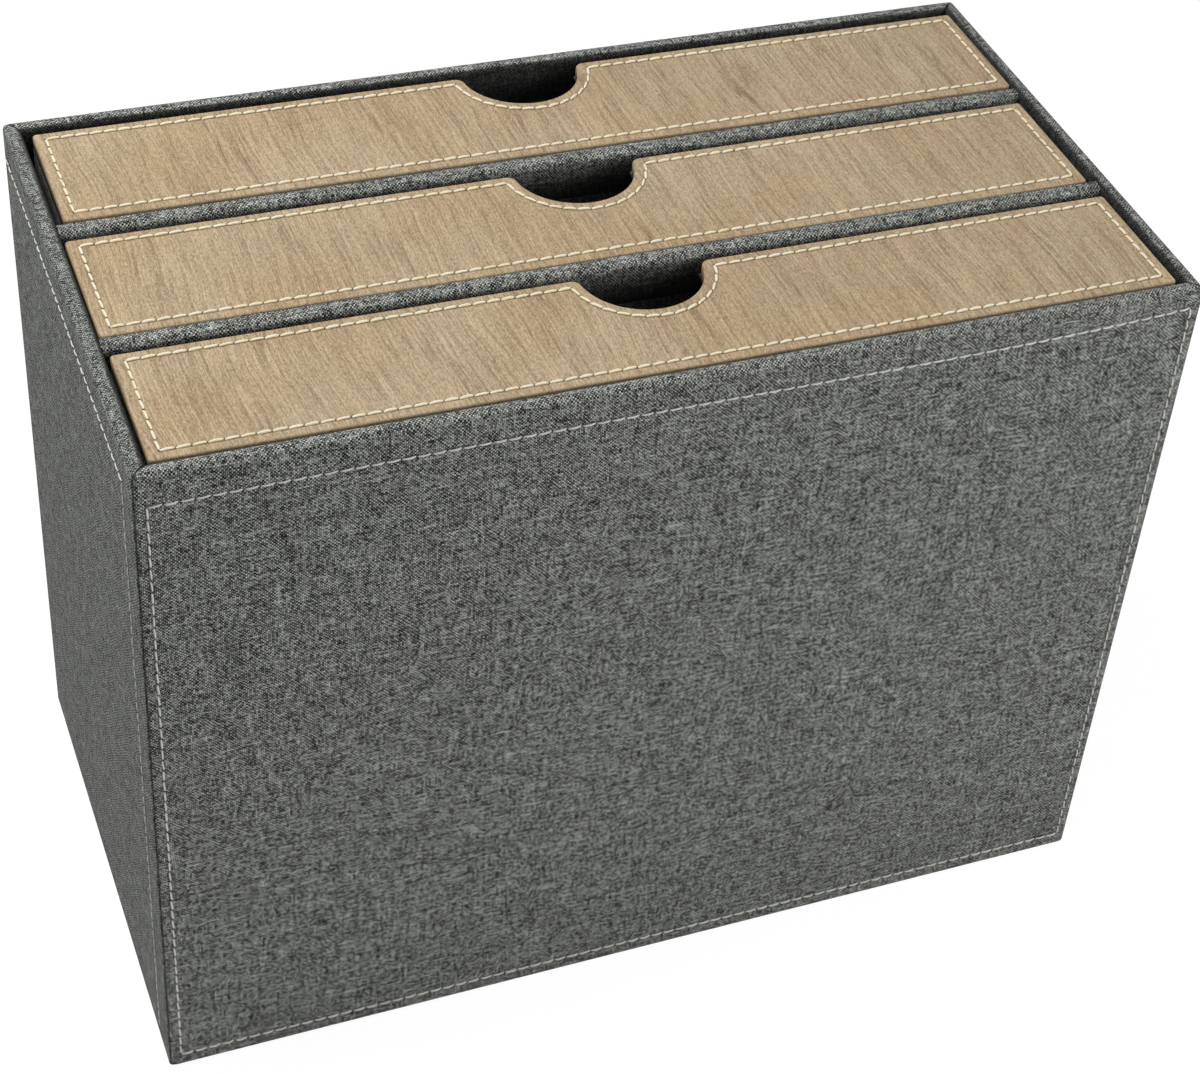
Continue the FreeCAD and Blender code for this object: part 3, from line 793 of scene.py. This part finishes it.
def loop_on_wall(across_low, across_high, low, high, place, facing):
    middle, half = (across_low + across_high) / 2, (across_high - across_low) / 2
    shares = [1.0 - 2.0 * i / TOP_ROW_POINTS for i in range(TOP_ROW_POINTS + 1)]
    upper = [place(middle + half * share, high + row_rise(share)) for share in shares]
    right_low, left_low = place(across_high, low), place(across_low, low)
    sides = [upper, [left_low, right_low], [right_low, upper[0]], [upper[-1], left_low]]
    return [(side, facing, 1.0) for side in sides]


wall_lines = []
near_face, far_face = case_low.y - SURFACE_LIFT, case_high.y + SURFACE_LIFT
for y, facing in ((near_face, (0, -1, 0)), (far_face, (0, 1, 0))):
    wall_lines += loop_on_wall(
        case_low.x + PANEL_SIDE_INSET, case_high.x - PANEL_SIDE_INSET,
        PANEL_BASE_INSET, case_height - PANEL_TOP_INSET, lambda a, z, y=y: (a, y, z), facing)
left_face, right_face = case_low.x - SURFACE_LIFT, case_high.x + SURFACE_LIFT
for x, facing in ((left_face, (-1, 0, 0)), (right_face, (1, 0, 0))):
    near_y, far_y, top = case_low.y + END_NEAR_INSET, case_high.y - END_FAR_INSET, case_height - END_TOP_INSET
    wall_lines += [([(x, near_y, PANEL_BASE_INSET), (x, near_y, top)], facing, END_FINENESS),
                   ([(x, near_y, top), (x, far_y, top)], facing, END_FINENESS)]
sew("case_stitching", wall_lines, "case", "grey_thread", seed=3, slant=0.06,
    stitch={"Stitch length": 3.9, "Thread": 0.64, "Rise": 0.26, "Hole": 0.3})

# %% [markdown]
# ## Stitches on the drawer fronts
# The row follows the outline of the front at an even distance and goes round the finger notch too.

# %% Front outline
NOTCH_RADIUS = 19.5 * MM
MOUTH_ROUND = 3.0 * MM
CORNER_ROUND = 1.2 * MM
FRONT_STITCH_INSET = 3.6 * MM
NOTCH_STEPS = 40


def notch_mouth(inset):
    """The radius of the round at the notch's mouth, how far its centre is from the notch's, and the angle
    there, in degrees."""
    mouth = max(MOUTH_ROUND, inset)
    reach = math.sqrt((NOTCH_RADIUS + mouth) ** 2 - mouth ** 2)
    return mouth, reach, math.degrees(math.atan2(mouth, reach))


def facings(start_angle, end_angle, steps):
    """Directions that turn evenly between two angles in degrees."""
    angles = [math.radians(start_angle + (end_angle - start_angle) * i / steps) for i in range(steps + 1)]
    return [(math.cos(angle), math.sin(angle)) for angle in angles]


def arc(centre, radius, start_angle, end_angle, steps):
    turned = facings(start_angle, end_angle, steps)
    return [(centre[0] + radius * x, centre[1] + radius * y) for x, y in turned]


def front_outline(low, high, inset):
    """The sides of a front's outline, drawn in by inset, each as a list of (x, y) points. Their order is
    near, right, far right, notch, far left, left."""
    middle_x = (high.x + low.x) / 2
    _, mouth_x, bend = notch_mouth(inset)
    notch = arc((middle_x, high.y), NOTCH_RADIUS + inset, -bend, bend - 180, NOTCH_STEPS)
    left, right, near, far = low.x + inset, high.x - inset, low.y + inset, high.y - inset
    return [
        [(left, near), (right, near)], [(right, near), (right, far)],
        [(right, far), (middle_x + mouth_x, far)], notch,
        [(middle_x - mouth_x, far), (left, far)], [(left, far), (left, near)]]


for number, name in enumerate(DRAWERS):
    low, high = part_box(name + "_front_cover")
    sides = front_outline(low, high, FRONT_STITCH_INSET)
    lines = [([(x, y, high.z + SURFACE_LIFT) for x, y in side], (0, 0, 1), 1.0) for side in sides]
    sew(name + "_stitching", lines, name + "_drawer", "cream_thread", seed=11 + number, slant=0.07,
        stitch={"Stitch length": 4.1, "Thread": 0.88, "Rise": 0.16, "Hole": 0.34})

# %% [markdown]
# ## Skins that follow a shape
# Cloth on a board is a thin skin that bends over the edges and dips where it is sewn. It could be a box
# with bevels, but then a seam has nothing to dip in. Here it is a net of rows: each row is one line of
# the skin. A second net lies under the first by the thickness of the skin, and strips join their
# borders, so the skin is closed.

# %% Mesh from rows
MERGE_DISTANCE = 1e-6
LEAST_EDGE = 1e-7


def build_piece(name, vertices, faces, finish, uv=None, painted_shade=None):
    """A mesh with merged doubles and outward faces. uv holds one (u, v) in mm for each vertex, and the last
    argument holds for each vertex how much shade is painted on it, 0 to 1."""
    mesh = bpy.data.meshes.new(name)
    mesh.from_pydata(vertices, [], faces)
    if uv is not None:
        layer = mesh.uv_layers.new(name=CLOTH_UV)
        corners = [0] * len(mesh.loops)
        mesh.loops.foreach_get("vertex_index", corners)
        layer.data.foreach_set("uv", [x for corner in corners for x in uv[corner]])
        mesh.attributes.new(PAINTED_SHADE_NAME, "FLOAT", "POINT").data.foreach_set("value", painted_shade)
    work = bmesh.new()
    work.from_mesh(mesh)
    bmesh.ops.remove_doubles(work, verts=work.verts, dist=MERGE_DISTANCE)
    bmesh.ops.dissolve_degenerate(work, dist=LEAST_EDGE, edges=work.edges)
    bmesh.ops.recalc_face_normals(work, faces=work.faces)
    for face in work.faces:
        face.smooth = True
    work.to_mesh(mesh)
    open_edges = sum(1 for edge in work.edges if len(edge.link_faces) != 2)
    work.free()
    mesh.materials.append(materials[finish])
    piece = bpy.data.objects.new(name, mesh)
    scene.collection.objects.link(piece)
    print(name, "has", len(mesh.polygons), "faces and", open_edges, "open edges")
    return piece


def closed_skin(outer, inner):
    """Vertices and faces of two nets of rows of equal length, joined along their borders."""
    rows, columns = len(outer), len(outer[0])
    vertices = [point for net in (outer, inner) for row in net for point in row]
    under = rows * columns
    faces = []
    for r in range(rows - 1):
        for c in range(columns - 1):
            a = r * columns + c
            quad = (a, a + 1, a + columns + 1, a + columns)
            faces += [quad, tuple(under + i for i in reversed(quad))]
    border = list(range(columns))
    border += [r * columns + columns - 1 for r in range(1, rows)]
    border += [(rows - 1) * columns + c for c in range(columns - 2, -1, -1)]
    border += [r * columns for r in range(rows - 2, 0, -1)]
    for first, second in zip(border, border[1:] + border[:1]):
        faces.append((second, first, under + first, under + second))
    return vertices, faces


# %% [markdown]
# ## The cloth on the outer walls
# Each wall's cloth comes from under the box, goes up the outside, rolls over the rim and ends inside.
# Two walls meet on a slant, where the cloth is tucked in, so a fine crease shows at each corner.
# Along the row of stitches the thread pulls the cloth into a shallow channel. The cloth is darker in
# Shade is painted into the cloth: it is darker in the creases, along the row and on the sides that face into
# a bay.
# The four walls differ in a few numbers only, so one class makes the net of each.

# %% Profile of the wall cloth
RIM_ROUND = 2.0 * MM
RIM_STEPS = 7
RIM_CLEARANCE = 1.0 * MM
CORNER_BEND = 1.0 * MM
CORNER_CLEARANCE = 0.5 * MM
BASE_STEPS = 4
TURN_UNDER = 14.0 * MM
UNDER_SHARES = (1.0, 0.7, 0.4, 0.2)
INNER_DROP = 4.0 * MM
CHANNEL_WIDTH = 0.7 * MM
CHANNEL_SHARES = (-2.2, -1.3, -0.8, -0.4, 0.4, 0.8, 1.3)
lining_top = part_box("near_bay_lining")[1].z


def bend_points(centre, radius, start_angle, end_angle, steps):
    """Points round a bend as (in, up, facing in, facing up). Angles in degrees."""
    turned = facings(start_angle, end_angle, steps)
    return [(centre[0] + radius * x, centre[1] + radius * z, x, z) for x, z in turned]


def lengths_along(section):
    """How far each point of a section is from the first, along the section."""
    lengths = [0.0]
    for (across, up, *_), (next_across, next_up, *_) in zip(section, section[1:]):
        lengths.append(lengths[-1] + math.hypot(next_across - across, next_up - up))
    return lengths


def stitch_levels(low, high):
    """Two places for each stitch from low to high, and a few close ones beside both ends."""
    steps = round((high - low) / STITCH_PITCH) * 2
    levels = [low + (high - low) * i / steps for i in range(steps + 1)]
    for end in (low, high):
        levels += [end + CHANNEL_WIDTH * share for share in CHANNEL_SHARES]
    return sorted(levels)


def wall_profile(levels):
    """The section of a wall's cloth as (in, up, facing in, facing up), from under the box to its end
    inside."""
    rim = case_height - RIM_ROUND
    lowest, highest = CORNER_BEND + CORNER_CLEARANCE, rim - RIM_CLEARANCE
    profile = [(TURN_UNDER * share, 0.0, 0.0, -1.0) for share in UNDER_SHARES]
    profile += bend_points((CORNER_BEND, CORNER_BEND), CORNER_BEND, -90, -180, BASE_STEPS)
    profile += [(0.0, z, -1.0, 0.0) for z in levels if lowest < z < highest]
    profile += bend_points((RIM_ROUND, rim), RIM_ROUND, 180, 90, RIM_STEPS)
    profile += bend_points((wall - RIM_ROUND, rim), RIM_ROUND, 90, 0, RIM_STEPS)
    profile += [(wall, z, 1.0, 0.0) for z in (rim - INNER_DROP, lining_top)]
    return profile


print("the wall cloth is", round(lengths_along(wall_profile([]))[-1] / MM), "mm long in section")

# %% How deep the cloth lies
CHANNEL_DEPTH = 0.22 * MM
PULL_CHANGE = 0.3
CREASE_DEPTH = 0.35 * MM
CREASE_FADE = 0.5 * MM
MITRE_ANGLE = 45.0
ROW_REACH = 60.0 * MM


def thread_pull(change, stitches):
    """How hard the thread pulls after a number of stitches: 1 at a needle hole, and less between two."""
    return 1.0 - change * (1.0 - math.cos(2 * math.pi * stitches))


def channel(distance, along, span):
    """How deep the thread pulls the cloth in, at a distance from the row and a place along it."""
    stitches = along / span * round(span / STITCH_PITCH)
    return CHANNEL_DEPTH * thread_pull(PULL_CHANGE, stitches) * math.exp(-(distance / CHANNEL_WIDTH) ** 2)


def crease_at(angle, in_w, off_corner):
    """How deep the cloth is tucked in near a corner."""
    if angle:
        return CREASE_DEPTH * (1.0 if in_w >= CORNER_BEND else abs(angle) / MITRE_ANGLE)
    return CREASE_DEPTH * math.exp(-(off_corner / CREASE_FADE) ** 2)


def follow_row(z, share, seam_high):
    """Moves a level near the upper row up or down, so that the net follows the row."""
    reach = (case_height - RIM_ROUND - seam_high) if z > seam_high else ROW_REACH
    return z + row_rise(max(-1.0, min(share, 1.0))) * max(1.0 - abs(z - seam_high) / reach, 0.0)


print("a needle hole lies", round(channel(0.0, 0.0, case_width) / MM, 2), "mm deep in the cloth")

# %% The skin of one wall
CREASE_WIDTH = 0.8 * MM
CORNER_TURNS = 3
# How dark the channel is painted, and how far painted shade reaches from the inner side of a wall.
CHANNEL_SHADE = 0.45
BROAD_SHADE_WIDTH = 1.2 * MM
NARROW_SHADE_WIDTH = 2.0 * MM
SHADE_GAIN = 1.6


class WallSkin:
    """The net of one wall's cloth. insets are those of the rows at both ends. to_right is 1 where along
    goes to the right end, -1 where it goes to the left, and 0 on a narrow wall, whose row doesn't go all
    round. to_box turns (along, in, up) into a place in the box."""

    def __init__(self, to_box, length, insets, top_inset, to_right=0):
        self.to_box = to_box
        self.to_right = to_right
        self.half = length / 2
        self.flat_half = self.half - CORNER_BEND
        self.first_x, self.last_x = insets[0] - self.half, self.half - insets[1]
        self.seam_low, self.seam_high = PANEL_BASE_INSET, case_height - top_inset
        self.seam_levels = (self.seam_low, self.seam_high) if to_right else (self.seam_high,)
        self.seam_places = (self.first_x, self.last_x) if to_right else (self.first_x,)
        self.shade_width = BROAD_SHADE_WIDTH if to_right else NARROW_SHADE_WIDTH

    def columns(self):
        """The columns as (along, turn). The few at each end turn round the corner, by so many degrees."""
        along = stitch_levels(self.first_x, self.last_x)
        along += [sign * (self.flat_half - CREASE_WIDTH * share) for sign in (-1, 1) for share in (0.0, 1.0)]
        flat = [(x, 0.0) for x in sorted(along) if abs(x) <= self.flat_half]
        turns = [MITRE_ANGLE * turn / CORNER_TURNS for turn in range(1, CORNER_TURNS + 1)]
        before = [(-self.flat_half, -angle) for angle in reversed(turns)]
        return before + flat + [(self.flat_half, angle) for angle in turns]

    def reach(self, in_w):
        """How far the wall goes from its middle to the mitre, at a depth."""
        return self.half - max(in_w, CORNER_BEND)

    def along(self, x, in_w):
        return x * self.reach(in_w) / self.flat_half

    def pull(self, px, z):
        """How deep the rows pull the cloth in at a place on the outer face."""
        pulls = [0.0]
        span, rise = self.last_x - self.first_x, self.seam_high - self.seam_low
        if self.first_x <= px <= self.last_x:
            pulls += [channel(z - level, px - self.first_x, span) for level in self.seam_levels]
        if self.seam_low <= z <= self.seam_high:
            pulls += [channel(px - x, z - self.seam_low, rise) for x in self.seam_places]
        return max(pulls)

    def sink(self, x, angle, in_w, up, face_z):
        """How deep a column's point lies in the row and the crease, and how much shade is painted on it
        there.
        """
        px = self.along(x, in_w)
        on_face, under_box = in_w == 0.0, face_z == -1.0
        pull = self.pull(px, up) if on_face else 0.0
        flat = under_box or (on_face and not angle)
        crease = 0.0 if flat else crease_at(angle, in_w, self.reach(in_w) - abs(px))
        # Painted shade: the cloth is painted darker in a crease, along the channel of the row and towards the
        # side that faces into a bay.
        shade = min(((in_w - wall) / self.shade_width + 1.0) * SHADE_GAIN, 1.0)
        return pull + crease, max(crease / CREASE_DEPTH, CHANNEL_SHADE * pull / CHANNEL_DEPTH, shade)

    def place(self, x, angle, px, in_w, up, on_face):
        """Follows the upper row, goes round the corner by angle, and gives the place in the box."""
        if on_face and self.to_right:
            up = follow_row(up, self.to_right * px / self.last_x, self.seam_high)
        if angle and in_w < CORNER_BEND:
            turn = math.radians(abs(angle))
            round_in = CORNER_BEND - in_w
            px = math.copysign(self.flat_half + round_in * math.sin(turn), x)
            in_w = CORNER_BEND - round_in * math.cos(turn)
        return self.to_box(px, in_w, up)

    def net(self, shift):
        """Outer rows, inner rows, UV places in mm and the painted shade of each point, with the weave moved
        by shift.
        """
        outer, inner, uv, painted_shade = [], [], [], []
        columns, profile = self.columns(), wall_profile(stitch_levels(self.seam_low, self.seam_high))
        for (w, z, face_w, face_z), travelled in zip(profile, lengths_along(profile)):
            on_face = w == 0.0
            under_w, under_z = w - face_w * cloth_thickness, z - face_z * cloth_thickness
            outer.append([])
            inner.append([])
            for x, angle in columns:
                sink, dark = self.sink(x, angle, w, z, face_z)
                sunk_w, sunk_z = w - face_w * sink, z - face_z * sink
                outer[-1].append(self.place(x, angle, self.along(x, w), sunk_w, sunk_z, on_face))
                inner[-1].append(self.place(x, angle, self.along(x, under_w), under_w, under_z, on_face))
                flat_x = self.along(x, w) + math.radians(angle) * CORNER_BEND
                uv.append(((shift + flat_x) / MM, travelled / MM))
                painted_shade.append(dark)
        return outer, inner, uv * 2, painted_shade + [0.0] * len(painted_shade)


# %% Cover the walls
def wall_cloth(side, finish, shift, skin):
    """shift moves the weave, in metres, so that no two walls match."""
    outer, inner, uv, painted_shade = skin.net(shift)
    piece = build_piece(side + "_cloth", *closed_skin(outer, inner), finish, uv, painted_shade)
    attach(piece, "case")
    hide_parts(side + "_cover")


BROAD = {"length": case_width, "insets": (PANEL_SIDE_INSET,) * 2, "top_inset": PANEL_TOP_INSET}
NARROW = {"length": case_depth, "insets": (END_NEAR_INSET, END_FAR_INSET), "top_inset": END_TOP_INSET}
wall_cloth("near", "grey_cloth_sewn", shift=0.0,
           skin=WallSkin(lambda a, w, z: (a, case_low.y + w, z), **BROAD, to_right=1))
wall_cloth("far", "grey_cloth_sewn", shift=0.9,
           skin=WallSkin(lambda a, w, z: (-a, case_high.y - w, z), **BROAD, to_right=-1))
wall_cloth("left", "grey_cloth_narrow", shift=1.7,
           skin=WallSkin(lambda a, w, z: (case_low.x + w, a, z), **NARROW))
wall_cloth("right", "grey_cloth_narrow", shift=2.3,
           skin=WallSkin(lambda a, w, z: (case_high.x - w, a, z), **NARROW))

# %% [markdown]
# ## The cloth over the dividers
# A divider's cloth is folded over its upper edge, which gives a plump bead between two drawers. It is
# rounder on the near side than on the far one, and shade is painted into it, darker further down its sides.

# %% Divider cloth
FAR_BEND = 0.8 * MM
BEAD_SWELL = 0.4 * MM
NEAR_BEND_STEPS = 10
FAR_BEND_STEPS = 8
DIVIDER_STEPS = 24
WEAVE_SHIFT = 9


def divider_cloth(name):
    low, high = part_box(name)
    half, middle_y = (high.y - low.y) / 2, (low.y + high.y) / 2
    top = high.z + BEAD_SWELL
    section = [(-half, z, -1.0, 0.0) for z in (low.z, (low.z + top - half) / 2)]
    section += bend_points((0.0, top - half), half, 180, 90, NEAR_BEND_STEPS)
    section += bend_points((half - FAR_BEND, top - FAR_BEND), FAR_BEND, 90, 0, FAR_BEND_STEPS)
    section += [(half, z, 1.0, 0.0) for z in ((low.z + top - FAR_BEND) / 2, low.z)]
    places = [low.x + (high.x - low.x) * i / DIVIDER_STEPS for i in range(DIVIDER_STEPS + 1)]
    outer, inner, uv, painted_shade = [], [], [], []
    for (y, z, face_y, face_z), travelled in zip(section, lengths_along(section)):
        under_y, under_z = y - face_y * cloth_thickness, z - face_z * cloth_thickness
        outer.append([(x, middle_y + y, z) for x in places])
        inner.append([(x, middle_y + under_y, under_z) for x in places])
        uv += [((x + middle_y * WEAVE_SHIFT) / MM, travelled / MM) for x in places]
        # Painted shade: the cloth is darker further down the divider's sides.
        painted_shade += [min((top - z) / (2 * half), 1.0)] * len(places)
    piece = build_piece(name.replace("_wrap", "_cloth"), *closed_skin(outer, inner), "grey_cloth_sewn",
                        uv * 2, painted_shade * 2)
    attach(piece, "case")
    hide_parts(name)


for name in ("near_divider_wrap", "far_divider_wrap"):
    divider_cloth(name)

# %% [markdown]
# ## The leathercloth on the fronts
# A front is a board with leathercloth drawn tight over it. The sewn row presses a channel into it, and
# the strip outside the row swells a little before it turns down over the edge. The skin is made of
# rings: each is the outline of the front, drawn in a little further, and each has as many points as
# the others, so that the rings join without a seam.

# %% Rings of a front
POINTS_PER_STITCH = 4
BEND_STEPS = 6


def straight(start_point, end_point, steps):
    (x, y), (end_x, end_y) = start_point, end_point
    return [(x + (end_x - x) * i / steps, y + (end_y - y) * i / steps) for i in range(steps + 1)]


def sewn_points(points):
    """The points between the ends of a sewn line, each with its place in the stitch."""
    return [(x, y, i % POINTS_PER_STITCH) for i, (x, y) in enumerate(points)][1:-1]


def bent_points(centre, radius, start_angle, end_angle):
    """The points of a round, where the place in the stitch doesn't count."""
    return [(x, y, 0) for x, y in arc(centre, radius, start_angle, end_angle, BEND_STEPS)]


def front_steps(low, high):
    """How many steps follow the long side, the short side, half the notched side and the notch."""
    width, depth = high.x - low.x, high.y - low.y
    _, reach, bend = notch_mouth(FRONT_STITCH_INSET)
    lengths = (width - 2 * FRONT_STITCH_INSET, depth - 2 * FRONT_STITCH_INSET,
               width / 2 - FRONT_STITCH_INSET - reach,
               (NOTCH_RADIUS + FRONT_STITCH_INSET) * math.radians(180 - 2 * bend))
    return [round(length / STITCH_PITCH) * POINTS_PER_STITCH for length in lengths]


def front_ring(low, high, inset):
    """One closed ring of (x, y, place in the stitch), drawn in from the outline by inset. The right half
    is built and mirrored."""
    left, right, near, far = low.x, high.x, low.y, high.y
    middle_x = (left + right) / 2
    corner, corner_round = max(CORNER_ROUND, inset), max(CORNER_ROUND - inset, 0.0)
    mouth, reach, bend = notch_mouth(inset)
    mouth_x, mouth_round = middle_x + reach, max(MOUTH_ROUND - inset, 0.0)
    long_steps, short_steps, half_steps, notch_steps = front_steps(low, high)
    half = bent_points((right - corner, near + corner), corner_round, -90, 0)
    half += sewn_points(straight((right - inset, near + corner), (right - inset, far - corner), short_steps))
    half += bent_points((right - corner, far - corner), corner_round, 0, 90)
    half += sewn_points(straight((right - corner, far - inset), (mouth_x, far - inset), half_steps))
    half += bent_points((mouth_x, far - mouth), mouth_round, 90, 180 - bend)
    base = sewn_points(straight((left + corner, near + inset), (right - corner, near + inset), long_steps))
    notch = sewn_points(arc((middle_x, far), NOTCH_RADIUS + inset, -bend, bend - 180, notch_steps))
    return base + half + notch + [(2 * middle_x - x, y, place) for x, y, place in reversed(half)]


# %% Height of a front
EDGE_ROUND = 0.7 * MM
FRONT_CHANNEL_DEPTH = 0.3 * MM
FRONT_CHANNEL_WIDTH = 0.75 * MM
FRONT_PULL_CHANGE = 0.28
MARGIN_SWELL = 0.12 * MM


def front_height(inset, place):
    """How far the leathercloth lies below the highest level, at an inset and a place in the stitch."""
    if inset < EDGE_ROUND:
        return EDGE_ROUND - math.sqrt(EDGE_ROUND ** 2 - (EDGE_ROUND - inset) ** 2)
    swell = 0.0
    if inset < FRONT_STITCH_INSET:
        swell = math.sin(math.pi * (inset - EDGE_ROUND) / (FRONT_STITCH_INSET - EDGE_ROUND))
    off_row = (inset - FRONT_STITCH_INSET) / FRONT_CHANNEL_WIDTH
    pull = thread_pull(FRONT_PULL_CHANGE, place / POINTS_PER_STITCH)
    settle = min((inset - EDGE_ROUND) / EDGE_ROUND, 1.0)
    return MARGIN_SWELL * (settle - swell) + FRONT_CHANNEL_DEPTH * pull * math.exp(-off_row ** 2)


print("the row lies", round(front_height(FRONT_STITCH_INSET, 0) / MM, 2), "mm deep at a needle hole")

# %% Cover the fronts
SKIN = 0.6 * MM
INSETS = [0.0, 0.06, 0.2, 0.42, 0.7, 1.2, 1.6, 2.0, 2.4, 2.8, 3.1, 3.4, 3.6, 3.9, 4.2, 4.5, 4.9, 5.5,
          6.4, 7.5, 9.0]


def ring_faces(rings):
    """Strips between rings of equal length, and a face that closes each end."""
    count = len(rings[0])
    faces = []
    for r in range(len(rings) - 1):
        for i in range(count):
            a, b = r * count + i, r * count + (i + 1) % count
            faces.append((a, b, b + count, a + count))
    last = (len(rings) - 1) * count
    return faces + [tuple(reversed(range(count))), tuple(range(last, last + count))]


def cover_front(name):
    low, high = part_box(name + "_front_cover")
    under = [(x, y) for x, y, _ in front_ring(low, high, SKIN)]
    rings = [[(x, y, high.z - SKIN) for x, y in under], [(x, y, low.z) for x, y in under],
             [(x, y, low.z) for x, y, _ in front_ring(low, high, 0.0)]]
    for inset in INSETS:
        ring = front_ring(low, high, inset * MM)
        rings.append([(x, y, high.z - front_height(inset * MM, place)) for x, y, place in ring])
    points = [point for ring in rings for point in ring]
    piece = build_piece(name + "_front_leathercloth", points, ring_faces(rings), "oak_leathercloth")
    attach(piece, name + "_drawer")
    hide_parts(name + "_front_cover")


for name in DRAWERS:
    cover_front(name)
